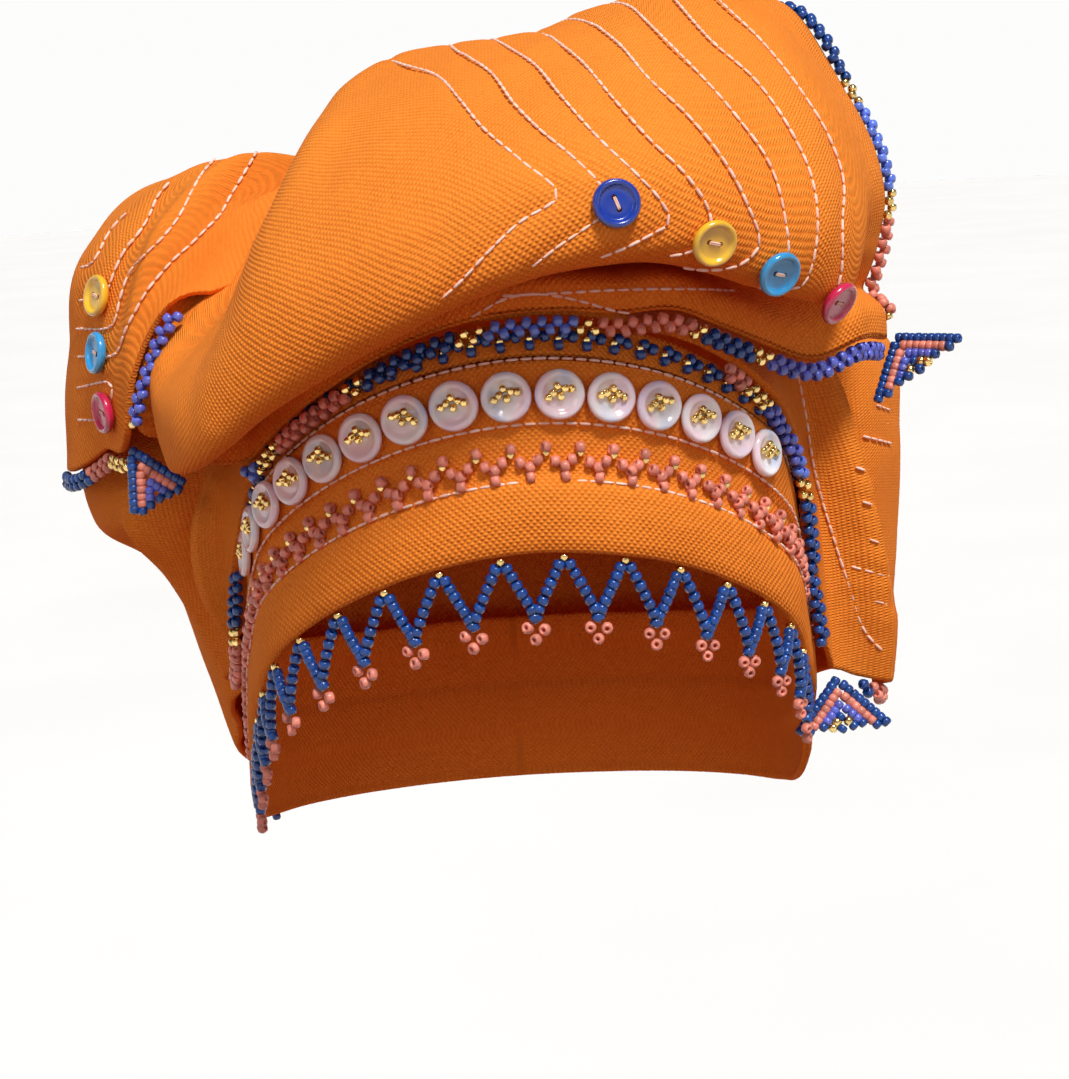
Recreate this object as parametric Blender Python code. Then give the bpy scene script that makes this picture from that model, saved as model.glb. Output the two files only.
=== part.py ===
"""Ready-made beaded head wrap, worn form: headband, wound cloth, front roll with wing, side wing, trims.

Metres, +Z up. The face looks along -Y. The origin is the crown of the head, where the wrap sits.
"""
import math

import bmesh
import bpy
import numpy as np

# Headband: outside of the cloth round the brow, measured from the head's upright axis
BAND_HALF_LENGTH = 0.0950
BAND_HALF_WIDTH = 0.0750
BAND_HEIGHT = 0.0510
BROW_DROP = 0.0510
NAPE_DROP = 0.1550

# Cloth: a doubled canvas wall, and the clearance that keeps two pieces apart
CLOTH = 0.0020
CLEAR = 0.0004
PLEAT_RISE = 0.0014

# Wound cloth: all sections are drawn round a gathering axis behind the crown
GATHER_BACK = 0.0350
ROLL_RISE = 0.0800
FOLD_DEPTH = 0.0100

# Trims
ROPE_RADIUS = 0.0022
PEARL_THICK = 0.0022
PEARL_GAP = 0.00027
PEARL_AIMS = (-39.14, 27.50)
PEARL_COUNT = 15
PEARL_LEVEL = 0.69
BUTTON_DIAMETER = 0.0104
BUTTON_THICK = 0.0024
BUTTON_SIDES = 12
FRINGE_PITCH = 0.0145
FRINGE_DROP = 0.0150
FRINGE_TIP = 0.0050
FRINGE_THICK = 0.0030
FRINGE_AIMS = (-60.28, 45.44)
TAB_LEG = 0.0170
TAB_THICK = 0.0030

# Plan of the band: share of the half width and of the half length at each turn from the brow
PLAN = (
    # turn, across, along
    (0, 0.000, 1.000),
    (15, 0.325, 0.957),
    (30, 0.613, 0.839),
    (45, 0.832, 0.657),
    (60, 0.924, 0.421),
    (75, 0.964, 0.204),
    (90, 0.987, 0.000),
    (105, 1.000, -0.211),
    (120, 0.979, -0.446),
    (135, 0.857, -0.677),
    (150, 0.629, -0.861),
    (165, 0.328, -0.967),
    (180, 0.000, -1.000),
)

# Rim of the band: share of the way from the brow's height down to the nape's
RIM = (
    # turn, drop
    (0, 0.000),
    (15, 0.033),
    (30, 0.124),
    (45, 0.263),
    (60, 0.443),
    (75, 0.610),
    (90, 0.766),
    (105, 0.865),
    (120, 0.923),
    (135, 0.960),
    (150, 0.985),
    (165, 0.997),
    (180, 1.000),
)

# Section of the band from the rim up: plain brow strip, bead channel, button strip, bead row
BAND_SECTION = (
    # height, taper, rise in pleat rises
    (0.00, 1.000, 0.2),
    (0.05, 1.000, 0.9),
    (0.17, 0.997, 1.1),
    (0.28, 0.992, 0.9),
    (0.34, 0.989, 0.0),
    (0.54, 0.981, 0.0),
    (0.59, 0.978, 0.9),
    (0.79, 0.966, 1.0),
    (0.86, 0.960, 0.0),
    (1.00, 0.950, 0.0),
)

# Wound cloth over head and nape. The hem has its level in band heights and its stand off the
# band in roll rises. Reach: share of the band's reach from the gathering axis. Up: share of
# the way from the rim to the crown.
WRAP = (
    # aim, hem level, hem stand, low reach, low up, belly reach, belly up, upper reach, upper up,
    # shoulder reach, shoulder up
    (-180, 0.14, 0.02, 1.25, 0.25, 1.33, 0.50, 1.23, 0.79, 0.80, 0.97),
    (-150, 0.14, 0.02, 1.24, 0.24, 1.33, 0.50, 1.22, 0.80, 0.78, 0.97),
    (-120, 0.16, 0.02, 1.24, 0.26, 1.32, 0.53, 1.24, 0.81, 0.78, 0.98),
    (-105, 0.24, 0.02, 1.25, 0.38, 1.42, 0.62, 1.33, 0.85, 0.83, 0.99),
    (-90, 0.40, 0.02, 1.24, 0.46, 1.46, 0.63, 1.38, 0.86, 0.84, 1.01),
    (-75, 0.60, 0.02, 1.22, 0.50, 1.46, 0.62, 1.40, 0.80, 0.82, 1.01),
    (-62, 0.66, 0.01, 1.15, 0.48, 1.30, 0.62, 1.19, 0.80, 0.77, 1.02),
    (-55, 0.58, 0.00, 1.10, 0.43, 1.15, 0.62, 1.01, 0.81, 0.73, 1.02),
    (-50, 0.62, 0.00, 1.07, 0.44, 1.06, 0.60, 0.92, 0.80, 0.70, 1.02),
    (-46.5, 0.74, 0.00, 1.02, 0.52, 0.99, 0.66, 0.88, 0.81, 0.66, 1.02),
    (-43, 0.98, 0.00, 0.99, 0.57, 0.95, 0.69, 0.86, 0.83, 0.65, 1.02),
    (-39, 1.02, -0.02, 0.96, 0.60, 0.92, 0.71, 0.85, 0.86, 0.63, 1.02),
    (-35, 1.05, -0.05, 0.92, 0.64, 0.87, 0.73, 0.79, 0.87, 0.60, 1.01),
    (-31, 1.05, -0.05, 0.90, 0.70, 0.85, 0.78, 0.77, 0.89, 0.57, 1.01),
    (-15, 1.05, -0.05, 0.87, 0.95, 0.78, 0.98, 0.68, 1.00, 0.52, 1.02),
    (0, 1.05, -0.05, 0.86, 1.03, 0.77, 1.03, 0.66, 1.03, 0.51, 1.03),
    (8, 1.05, -0.05, 0.86, 1.00, 0.77, 1.02, 0.66, 1.03, 0.52, 1.03),
    (14, 1.05, -0.03, 0.87, 0.94, 0.78, 0.98, 0.68, 1.01, 0.52, 1.03),
    (20, 1.05, 0.00, 0.90, 0.89, 0.84, 0.94, 0.76, 0.98, 0.55, 1.02),
    (28, 1.03, 0.00, 0.94, 0.81, 0.89, 0.88, 0.83, 0.95, 0.59, 1.02),
    (33, 1.00, 0.00, 0.96, 0.74, 0.92, 0.83, 0.86, 0.93, 0.61, 1.02),
    (37, 0.90, 0.00, 0.99, 0.62, 0.97, 0.75, 0.92, 0.90, 0.64, 1.02),
    (41, 0.62, 0.00, 1.02, 0.50, 1.01, 0.68, 0.96, 0.89, 0.68, 1.02),
    (45, 0.13, 0.00, 1.05, 0.34, 1.05, 0.60, 1.01, 0.86, 0.71, 1.02),
    (48, 0.16, 0.04, 1.09, 0.34, 1.09, 0.60, 1.04, 0.86, 0.73, 1.02),
    (54, 0.26, 0.13, 1.17, 0.36, 1.15, 0.61, 1.09, 0.87, 0.78, 1.02),
    (64, 0.44, 0.21, 1.26, 0.42, 1.28, 0.67, 1.22, 0.88, 0.85, 1.02),
    (76, 0.54, 0.26, 1.36, 0.45, 1.38, 0.69, 1.33, 0.88, 0.91, 1.01),
    (90, 0.62, 0.20, 1.33, 0.46, 1.37, 0.70, 1.31, 0.88, 0.88, 1.01),
    (105, 0.52, 0.10, 1.27, 0.35, 1.36, 0.62, 1.27, 0.85, 0.83, 0.99),
    (120, 0.28, 0.04, 1.24, 0.26, 1.32, 0.53, 1.24, 0.81, 0.78, 0.98),
    (150, 0.16, 0.02, 1.24, 0.24, 1.33, 0.50, 1.22, 0.80, 0.78, 0.97),
    (180, 0.14, 0.02, 1.25, 0.25, 1.33, 0.50, 1.23, 0.79, 0.80, 0.97),
)
WRAP_KNOTS = (0.0, 0.2, 0.42, 0.64, 0.84, 1.0)

# Hanging folds of the wound cloth: aim at the top and at the hem, half width in degrees,
# rise in fold depths, and the stretch of the section that each fold takes
WRAP_FOLDS = (
    # top aim, hem aim, half width, rise, from, to
    (39, 54, 3.2, 0.75, -0.10, 0.66),
    (44, 60, 4.5, -0.80, 0.12, 0.80),
    (86, 92, 6.0, -0.35, -0.10, 0.60),
    (-47, -52, 1.7, 0.30, 0.00, 0.60),
    (-53, -57, 2.2, -0.45, 0.00, 0.60),
    (-59, -63, 2.2, 0.30, -0.05, 0.60),
    (-66, -68, 2.6, -0.40, -0.05, 0.40),
    (-98, -104, 6.0, -0.40, -0.05, 0.55),
    (-128, -134, 7.0, 0.35, -0.05, 0.70),
    (-152, -150, 7.0, -0.40, -0.05, 0.70),
    (160, 156, 7.0, 0.35, -0.05, 0.70),
    (128, 126, 7.0, -0.40, -0.05, 0.70),
)

# Front roll and its wing: foot as the hem above, reach as above, and rise over the band's
# top edge in roll rises. Tuck and gully are the two sides of the dark fold under the lip.
ROLL = (
    # aim, foot level, foot stand, tuck reach, tuck rise, gully reach, gully rise, lip reach,
    # lip rise, bulge reach, bulge rise, crest reach, crest rise, top reach, top rise,
    # fall reach, fall rise, back reach
    (-55, 1.78, 0.12, 1.05, 0.76, 1.09, 0.80, 1.19, 0.60, 1.22, 0.74, 1.14, 0.91, 0.91, 1.06, 0.66, 1.00, 0.44),
    (-51, 1.60, 0.08, 0.97, 0.62, 1.03, 0.67, 1.16, 0.43, 1.20, 0.59, 1.12, 0.78, 0.88, 0.97, 0.60, 0.90, 0.44),
    (-46, 1.38, 0.06, 0.94, 0.52, 1.01, 0.59, 1.17, 0.27, 1.22, 0.47, 1.07, 0.70, 0.81, 0.92, 0.56, 0.86, 0.41),
    (-42, 1.26, 0.09, 0.93, 0.42, 0.99, 0.50, 1.19, 0.16, 1.22, 0.35, 1.00, 0.63, 0.74, 0.91, 0.50, 0.84, 0.37),
    (-38, 1.12, 0.06, 0.91, 0.34, 0.96, 0.44, 1.21, 0.08, 1.22, 0.26, 0.95, 0.57, 0.69, 0.91, 0.45, 0.83, 0.33),
    (-34.5, 1.01, 0.01, 0.88, 0.28, 0.92, 0.39, 1.21, 0.01, 1.22, 0.19, 0.92, 0.55, 0.65, 0.92, 0.41, 0.80, 0.29),
    (-31, 0.99, 0.00, 0.85, 0.25, 0.87, 0.36, 1.22, -0.03, 1.23, 0.14, 0.90, 0.57, 0.61, 0.93, 0.38, 0.75, 0.26),
    (-27, 0.98, 0.00, 0.82, 0.23, 0.83, 0.34, 1.23, -0.04, 1.25, 0.15, 0.92, 0.65, 0.57, 0.92, 0.37, 0.71, 0.23),
    (-23, 0.98, 0.00, 0.79, 0.21, 0.79, 0.32, 1.22, -0.02, 1.25, 0.20, 0.98, 0.67, 0.54, 0.88, 0.36, 0.64, 0.23),
    (-16, 1.00, 0.00, 0.77, 0.18, 0.77, 0.29, 1.19, 0.02, 1.23, 0.23, 0.96, 0.65, 0.51, 0.83, 0.34, 0.58, 0.22),
    (-8, 1.03, 0.00, 0.77, 0.15, 0.76, 0.26, 1.18, 0.09, 1.20, 0.29, 0.94, 0.64, 0.48, 0.78, 0.33, 0.54, 0.22),
    (3, 1.05, 0.00, 0.77, 0.14, 0.76, 0.25, 1.16, 0.18, 1.18, 0.37, 0.94, 0.66, 0.49, 0.77, 0.33, 0.54, 0.22),
    (10, 1.07, 0.01, 0.78, 0.18, 0.78, 0.28, 1.16, 0.21, 1.19, 0.40, 0.96, 0.71, 0.51, 0.82, 0.34, 0.60, 0.22),
    (15, 1.14, 0.04, 0.82, 0.22, 0.82, 0.31, 1.16, 0.22, 1.20, 0.41, 0.99, 0.76, 0.54, 0.90, 0.35, 0.66, 0.22),
    (21, 1.15, 0.05, 0.89, 0.26, 0.90, 0.34, 1.17, 0.23, 1.20, 0.42, 1.02, 0.81, 0.57, 1.00, 0.36, 0.74, 0.22),
    (26, 1.18, 0.06, 0.96, 0.29, 0.99, 0.37, 1.17, 0.26, 1.21, 0.45, 1.04, 0.87, 0.61, 1.10, 0.38, 0.84, 0.23),
    (33, 1.28, 0.11, 1.02, 0.39, 1.05, 0.47, 1.17, 0.34, 1.20, 0.55, 1.05, 1.00, 0.66, 1.25, 0.41, 0.97, 0.24),
    (40, 1.60, 0.20, 1.11, 0.54, 1.14, 0.59, 1.19, 0.65, 1.22, 0.81, 1.09, 1.15, 0.76, 1.43, 0.45, 1.15, 0.26),
    (49, 1.88, 0.26, 1.20, 0.70, 1.22, 0.75, 1.25, 0.85, 1.27, 0.98, 1.18, 1.26, 0.91, 1.57, 0.53, 1.35, 0.30),
)
ROLL_KNOTS = (0.0, 0.04, 0.14, 0.19, 0.33, 0.43, 0.60, 0.78, 0.90, 1.0)
FOOT_RISE = 0.11

# Side wing, a corner of the cloth laid over the left end of the roll. Columns: hem, front,
# brow, top, fall, and the reach of the back edge on the crown.
SIDE_WING = (
    # aim, hem reach, hem rise, front reach, front rise, brow reach, brow rise, top reach,
    # top rise, fall reach, fall rise, back reach
    (-105, 1.49, 0.83, 1.47, 1.11, 1.36, 1.39, 1.04, 1.54, 0.66, 1.48, 0.44),
    (-90, 1.53, 0.72, 1.50, 1.04, 1.39, 1.37, 1.07, 1.54, 0.67, 1.47, 0.42),
    (-76, 1.55, 0.62, 1.51, 0.97, 1.41, 1.33, 1.11, 1.52, 0.65, 1.42, 0.38),
    (-68, 1.50, 0.57, 1.47, 0.90, 1.40, 1.23, 1.07, 1.47, 0.62, 1.36, 0.39),
    (-60, 1.39, 0.54, 1.39, 0.84, 1.31, 1.16, 0.99, 1.39, 0.59, 1.26, 0.37),
    (-52, 1.31, 0.46, 1.30, 0.76, 1.17, 1.06, 0.87, 1.26, 0.56, 1.14, 0.36),
    (-49, 1.28, 0.58, 1.25, 0.81, 1.12, 1.04, 0.83, 1.21, 0.55, 1.10, 0.36),
    (-46, 1.24, 0.70, 1.17, 0.84, 1.04, 1.00, 0.79, 1.14, 0.53, 1.06, 0.35),
    (-42, 1.13, 0.70, 1.07, 0.80, 0.97, 0.93, 0.77, 1.07, 0.50, 1.00, 0.34),
)
WING_KNOTS = (0.0, 0.24, 0.48, 0.70, 0.88, 1.0)

# Where the side wing lies on the roll: the aims between which it settles, its distance from
# the roll's mid face, and the stretch of the roll's section that it covers
LAID_AIMS = (-50.0, -44.0)
LAY = CLOTH + 4 * CLEAR
LAID_FROM = (0.52, 0.64)
LAID_TO = 1.0
LAID_SWELL = 0.006

# Buttons of the wings: cloth, colour, aim, and place along the section from the hem
WING_BUTTONS = (
    # cloth, colour, aim, place
    ("roll", "navy", 7.0, 0.405),
    ("roll", "yellow", 15.0, 0.375),
    ("roll", "sky", 21.5, 0.36),
    ("roll", "rose", 30.0, 0.345),
    ("wing", "yellow", -58.0, 0.36),
    ("wing", "sky", -57.0, 0.235),
    ("wing", "rose", -56.0, 0.10),
)

COLOURS = {
    "orange": (0.88, 0.27, 0.04, 1.0),
    "navy": (0.02, 0.07, 0.30, 1.0),
    "periwinkle": (0.20, 0.24, 0.75, 1.0),
    "salmon": (0.80, 0.35, 0.30, 1.0),
    "gold": (0.72, 0.50, 0.20, 1.0),
    "pearl": (0.85, 0.80, 0.88, 1.0),
    "yellow": (0.85, 0.60, 0.08, 1.0),
    "sky": (0.08, 0.38, 0.80, 1.0),
    "rose": (0.65, 0.05, 0.14, 1.0),
}


def clear_scene():
    for thing in list(bpy.data.objects):
        bpy.data.objects.remove(thing, do_unlink=True)


def material(name, roughness):
    made = bpy.data.materials.get(name)
    if made is None:
        made = bpy.data.materials.new(name)
        made.use_nodes = True
        shader = made.node_tree.nodes["Principled BSDF"]
        shader.inputs["Base Color"].default_value = COLOURS[name]
        shader.inputs["Roughness"].default_value = roughness
        made.diffuse_color = COLOURS[name]
    return made


def smooth_columns(knots, rows, where):
    """Smooth curve through table rows: cubic pieces with slopes weighted by the nearer gap."""
    knots = np.asarray(knots, float)
    rows = np.asarray(rows, float)
    gaps = np.diff(knots)
    rates = np.diff(rows, axis=0) / gaps[:, None]
    slopes = np.empty_like(rows)
    slopes[0], slopes[-1] = rates[0], rates[-1]
    weight = (gaps[:-1] + gaps[1:])[:, None]
    slopes[1:-1] = (rates[:-1] * gaps[1:, None] + rates[1:] * gaps[:-1, None]) / weight
    cell = int(np.clip(np.searchsorted(knots, where, side="right") - 1, 0, len(gaps) - 1))
    u = (where - knots[cell]) / gaps[cell]
    start = (2 * u**3 - 3 * u**2 + 1) * rows[cell] + (u**3 - 2 * u**2 + u) * gaps[cell] * slopes[cell]
    end = (3 * u**2 - 2 * u**3) * rows[cell + 1] + (u**3 - u**2) * gaps[cell] * slopes[cell + 1]
    return start + end


def mirrored(table, odd):
    """Table over turns 0 to 180, with one row more beyond each end so that it runs on smoothly."""
    before = (-table[1][0],) + tuple(v * s for v, s in zip(table[1][1:], odd))
    after = (360 - table[-2][0],) + tuple(v * s for v, s in zip(table[-2][1:], odd))
    rows = (before,) + tuple(table) + (after,)
    return [row[0] for row in rows], [row[1:] for row in rows]


PLAN_TURNS, PLAN_SHARES = mirrored(PLAN, (-1, 1))
RIM_TURNS, RIM_SHARES = mirrored(RIM, (1,))


def plan_point(turn):
    across, along = smooth_columns(PLAN_TURNS, PLAN_SHARES, abs(turn))
    return np.array([math.copysign(across, turn) * BAND_HALF_WIDTH, -along * BAND_HALF_LENGTH])


def rim_height(turn):
    share = smooth_columns(RIM_TURNS, RIM_SHARES, abs(turn))[0]
    return -(BROW_DROP + (NAPE_DROP - BROW_DROP) * share)


def wrapped(turn):
    return (turn + 180.0) % 360.0 - 180.0


def plan_outward(turn):
    ahead, behind = plan_point(wrapped(turn + 0.5)), plan_point(wrapped(turn - 0.5))
    along = ahead - behind
    return np.array([-along[1], along[0]]) / -np.hypot(*along)


RING_TURNS = np.arange(-180.0, 180.5, 1.0)
RING_POINTS = np.array([plan_point(turn) for turn in RING_TURNS])
RING_AIMS = np.degrees(np.unwrap(np.arctan2(RING_POINTS[:, 0], GATHER_BACK - RING_POINTS[:, 1])))
RING_AIMS -= RING_AIMS[len(RING_AIMS) // 2]
RING_REACH = np.hypot(RING_POINTS[:, 0], RING_POINTS[:, 1] - GATHER_BACK)


def band_reach(aim):
    return float(np.interp(wrapped(aim), RING_AIMS, RING_REACH))


def band_turn(aim):
    return float(np.interp(wrapped(aim), RING_AIMS, RING_TURNS))


def round_axis(aim, reach, height):
    angle = math.radians(aim)
    return np.array([reach * math.sin(angle), GATHER_BACK - reach * math.cos(angle), height])


def band_point(turn, height, lift=0.0):
    """Point of the band's outer face, at a share of its height above the rim."""
    heights = [row[0] for row in BAND_SECTION]
    taper = float(np.interp(height, heights, [row[1] for row in BAND_SECTION]))
    rise = float(np.interp(height, heights, [row[2] for row in BAND_SECTION])) * PLEAT_RISE
    flat = plan_point(turn) * taper + plan_outward(turn) * (rise + lift)
    return np.array([flat[0], flat[1], rim_height(turn) + height * BAND_HEIGHT])


def seat_on_band(aim, level, stand):
    """Reach and height of a cloth edge that stands off the band, with room for its bead rope."""
    guess = aim
    for _ in range(3):
        place = band_point(band_turn(guess), level)
        guess += wrapped(aim - math.degrees(math.atan2(place[0], GATHER_BACK - place[1])))
    outward = plan_outward(band_turn(guess))
    slant = outward[0] * math.sin(math.radians(aim)) - outward[1] * math.cos(math.radians(aim))
    heights, rises = [row[0] for row in BAND_SECTION], [row[2] for row in BAND_SECTION]
    near = np.interp(np.linspace(level - 0.14, level, 8), heights, rises)
    pleat = PLEAT_RISE * (float(near.max()) - float(near[-1]))
    lift = (ROPE_RADIUS + 2 * CLEAR + pleat + stand * ROLL_RISE) / slant
    return math.hypot(place[0], GATHER_BACK - place[1]) + lift, place[2]


def wrap_point(aim, place):
    """Mid face of the wound cloth: aim round the gathering axis, place from hem 0 to crown 1."""
    shares = smooth_columns([row[0] for row in WRAP], [row[1:] for row in WRAP], wrapped(aim))
    reach, rim = band_reach(aim), rim_height(band_turn(aim))
    section = [seat_on_band(aim, shares[0], shares[1])]
    section += [(shares[2 * k] * reach, rim * (1 - shares[2 * k + 1])) for k in range(1, 5)]
    section.append((0.0, CLOTH / 2))
    out, height = smooth_columns(WRAP_KNOTS, section, place)
    for top, hem, half, rise, start, stop in WRAP_FOLDS:
        middle = hem + (top - hem) * place
        away = wrapped(aim - middle) / half
        span = min(max((place - start) / (stop - start), 0.0), 1.0)
        out += FOLD_DEPTH * rise * math.exp(-away * away) * math.sin(math.pi * span) ** 0.7
    return round_axis(aim, max(out, 0.0), height)


def roll_point(aim, place):
    """Mid face of the front roll: place runs from the beaded edge over the top to the back edge."""
    shares = smooth_columns([row[0] for row in ROLL], [row[1:] for row in ROLL], aim)
    reach, base = band_reach(aim), rim_height(band_turn(aim)) + BAND_HEIGHT
    section = [seat_on_band(aim, shares[0] + rise, shares[1]) for rise in (0.0, FOOT_RISE)]
    section += [(shares[2 * k] * reach, base + shares[2 * k + 1] * ROLL_RISE) for k in range(1, 8)]
    section.append((shares[16] * reach, 2 * CLOTH + 2 * CLEAR))
    out, height = smooth_columns(ROLL_KNOTS, section, place)
    return round_axis(aim, out, height)


def face_normal(face, aim, place):
    step = 0.01
    along = face(aim + 1, place) - face(aim - 1, place)
    up = face(aim, place + step) - face(aim, place - step)
    normal = np.cross(along, up)
    return normal / np.linalg.norm(normal)


def wing_point(aim, place):
    """Mid face of the side wing: place runs from the hem over the top to the back edge."""
    shares = smooth_columns([row[0] for row in SIDE_WING], [row[1:] for row in SIDE_WING], aim)
    reach, base = band_reach(aim), rim_height(band_turn(aim)) + BAND_HEIGHT
    section = [(shares[2 * k] * reach, base + shares[2 * k + 1] * ROLL_RISE) for k in range(5)]
    section.append((shares[10] * reach, 4 * (CLOTH + CLEAR)))
    out, height = smooth_columns(WING_KNOTS, section, place)
    free = round_axis(aim, out, height)
    settled = min(max((aim - LAID_AIMS[0]) / (LAID_AIMS[1] - LAID_AIMS[0]), 0.0), 1.0)
    if settled == 0.0:
        return free
    start = float(np.interp(aim, (LAID_AIMS[1], -33.0), LAID_FROM))
    spot = start + (LAID_TO - start) * place
    away = (aim + 41.0) / 4.5
    swell = LAID_SWELL * math.exp(-away * away) * math.sin(math.pi * place) ** 2
    side = np.array([math.cos(math.radians(aim)), math.sin(math.radians(aim)), 0.0])
    outward = face_normal(roll_point, aim, spot)
    outward = outward - side * np.dot(outward, side)
    share = np.linalg.norm(outward)
    laid = roll_point(aim, spot) + outward / share * (LAY / share + swell)
    settled = settled * settled * (3 - 2 * settled)
    return free * (1 - settled) + laid * settled


def grid_of(face, aims, places):
    return np.array([[face(aim, place) for place in places] for aim in aims])


def grid_normals(grid, closed):
    if closed:
        along = np.roll(grid, -1, axis=0) - np.roll(grid, 1, axis=0)
    else:
        along = np.gradient(grid, axis=0)
    normals = np.cross(along, np.gradient(grid, axis=1))
    return normals / np.maximum(np.linalg.norm(normals, axis=2, keepdims=True), 1e-12)


def add_object(name, colour, points, faces, roughness=0.8, smooth=True):
    mesh = bpy.data.meshes.new(name)
    mesh.from_pydata([tuple(point) for point in points], [], faces)
    work = bmesh.new()
    work.from_mesh(mesh)
    bmesh.ops.recalc_face_normals(work, faces=work.faces)
    if work.calc_volume(signed=True) < 0:
        bmesh.ops.reverse_faces(work, faces=work.faces)
    work.to_mesh(mesh)
    work.free()
    mesh.materials.append(material(colour, roughness))
    made = bpy.data.objects.new(name, mesh)
    bpy.context.scene.collection.objects.link(made)
    if smooth:
        mesh.shade_smooth()
        mesh.set_sharp_from_angle(angle=math.radians(50))
    return made


def quads_between(first, second, loop):
    count = len(first)
    steps = range(count if loop else count - 1)
    return [(first[k], first[(k + 1) % count], second[(k + 1) % count], second[k]) for k in steps]


def sheet(name, grid, closed=False, pole=False, wall=CLOTH):
    """Closed sheet of cloth: the grid is its mid face, half the wall goes to either side."""
    normals = grid_normals(grid, closed)
    if pole:
        grid = grid.copy()
        tip = grid[:, -1].mean(axis=0)
        grid, normals = grid[:, :-1], normals[:, :-1]
    rows, columns = grid.shape[:2]
    half = np.broadcast_to(np.asarray(wall) / 2, (rows, columns))[..., None]
    points, faces, index = [], [], []
    for side in (1, -1):
        start = len(points)
        points += list((grid + side * half * normals).reshape(-1, 3))
        index.append(np.arange(start, start + rows * columns).reshape(rows, columns))
    for layer in index:
        for column in range(columns - 1):
            faces += quads_between(list(layer[:, column]), list(layer[:, column + 1]), closed)
    faces += quads_between(list(index[0][:, 0]), list(index[1][:, 0]), closed)
    if pole:
        for layer, side in zip(index, (1, -1)):
            lift = side * float(np.max(half)) * np.sign(normals[:, -1, 2].mean())
            points.append(tip + np.array([0.0, 0.0, lift]))
            ring = list(layer[:, -1])
            faces += [(ring[k], ring[(k + 1) % rows], len(points) - 1) for k in range(rows)]
    else:
        faces += quads_between(list(index[0][:, -1]), list(index[1][:, -1]), closed)
    if not closed:
        for row in (0, -1):
            faces += quads_between(list(index[0][row]), list(index[1][row]), False)
    return add_object(name, "orange", points, faces)


def headband():
    turns = np.linspace(-180, 180, 57)[:-1]
    heights = [row[0] for row in BAND_SECTION]
    grid = np.array([[band_point(turn, height, -CLOTH / 2) for height in heights] for turn in turns])
    sheet("headband", grid, closed=True)


def leaned(aim, place):
    """Grid lines of the wound cloth lean with its folds, so that a fold keeps its line."""
    lean = np.interp(aim, (-84, -66, -59, -47, -36, 16, 38, 46, 84), (0, -2, -4, -5, 0, 0, 15, 16, 0))
    return aim + lean * (1 - place)


def wound_cloth():
    aims = []
    for start, stop, step in ((-180, -80, 10), (-80, -32, 3.43), (-32, 16, 6), (16, 40, 2), (40, 60, 2.5), (60, 180, 10)):
        aims += list(np.arange(start, stop, step))
    places = [0.0, 0.06, 0.14, 0.22, 0.32, 0.42, 0.53, 0.65, 0.77, 0.88, 1.0]
    grid = np.array([[wrap_point(leaned(aim, place), place) for place in places] for aim in aims])
    sheet("wound_cloth", grid, closed=True, pole=True)


def front_roll():
    aims = [-55, -53, -51, -48.5, -46, -44, -41.5, -39, -36.5, -34, -31, -29, -27, -25, -22, -16, -8, -3, 3, 8, 12]
    aims += [16, 20, 24, 28, 32, 36, 40, 44.5, 49]
    places = [0.0, 0.04, 0.09, 0.13, 0.16, 0.19, 0.23, 0.28, 0.31, 0.35, 0.39, 0.45, 0.52, 0.59, 0.67]
    places += [0.75, 0.83, 0.91, 1.0]
    sheet("front_roll", grid_of(roll_point, aims, places))


def side_wing():
    aims = [-105, -97, -90, -83, -76, -72, -68, -64, -60, -56, -52, -50, -48.5, -46, -44, -41.5, -39, -36.5, -34]
    places = [0.0, 0.10, 0.20, 0.32, 0.44, 0.56, 0.68, 0.80, 0.90, 1.0]
    sheet("side_wing", grid_of(wing_point, aims, places))


def turned(name, colour, profile, sides, place, facing, roughness=0.35):
    """Turned piece on a point: profile rows are radius and height along the facing direction."""
    facing = facing / np.linalg.norm(facing)
    across = np.cross(facing, [0.0, 0.0, 1.0])
    across = across / np.linalg.norm(across)
    upward = np.cross(across, facing)
    points, rings = [], []
    for radius, height in profile:
        if radius == 0:
            rings.append([len(points)])
            points.append(place + facing * height)
            continue
        rings.append(list(range(len(points), len(points) + sides)))
        for k in range(sides):
            angle = math.tau * k / sides
            spoke = across * math.cos(angle) + upward * math.sin(angle)
            points.append(place + spoke * radius + facing * height)
    faces = []
    for low, high in zip(rings, rings[1:]):
        if len(low) == 1:
            faces += [(low[0], high[k], high[(k + 1) % sides]) for k in range(sides)]
        elif len(high) == 1:
            faces += [(low[k], low[(k + 1) % sides], high[0]) for k in range(sides)]
        else:
            faces += quads_between(low, high, True)
    return add_object(name, colour, points, faces, roughness)


def button_profile(diameter, thick):
    radius = diameter / 2
    return (
        (0.0, 0.0),
        (radius * 0.80, 0.0),
        (radius, thick * 0.45),
        (radius * 0.88, thick),
        (radius * 0.62, thick * 0.62),
        (0.0, thick * 0.55),
    )


def pearl_row():
    """Turns of the pearl buttons, evenly spaced along the band, and the width left for each."""
    fine = np.linspace(band_turn(PEARL_AIMS[0]), band_turn(PEARL_AIMS[1]), 500)
    line = np.array([band_point(turn, PEARL_LEVEL) for turn in fine])
    run = np.concatenate(([0.0], np.cumsum(np.linalg.norm(np.diff(line, axis=0), axis=1))))
    pitch = run[-1] / (PEARL_COUNT - 1)
    return [float(np.interp(k * pitch, run, fine)) for k in range(PEARL_COUNT)], pitch - PEARL_GAP


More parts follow.
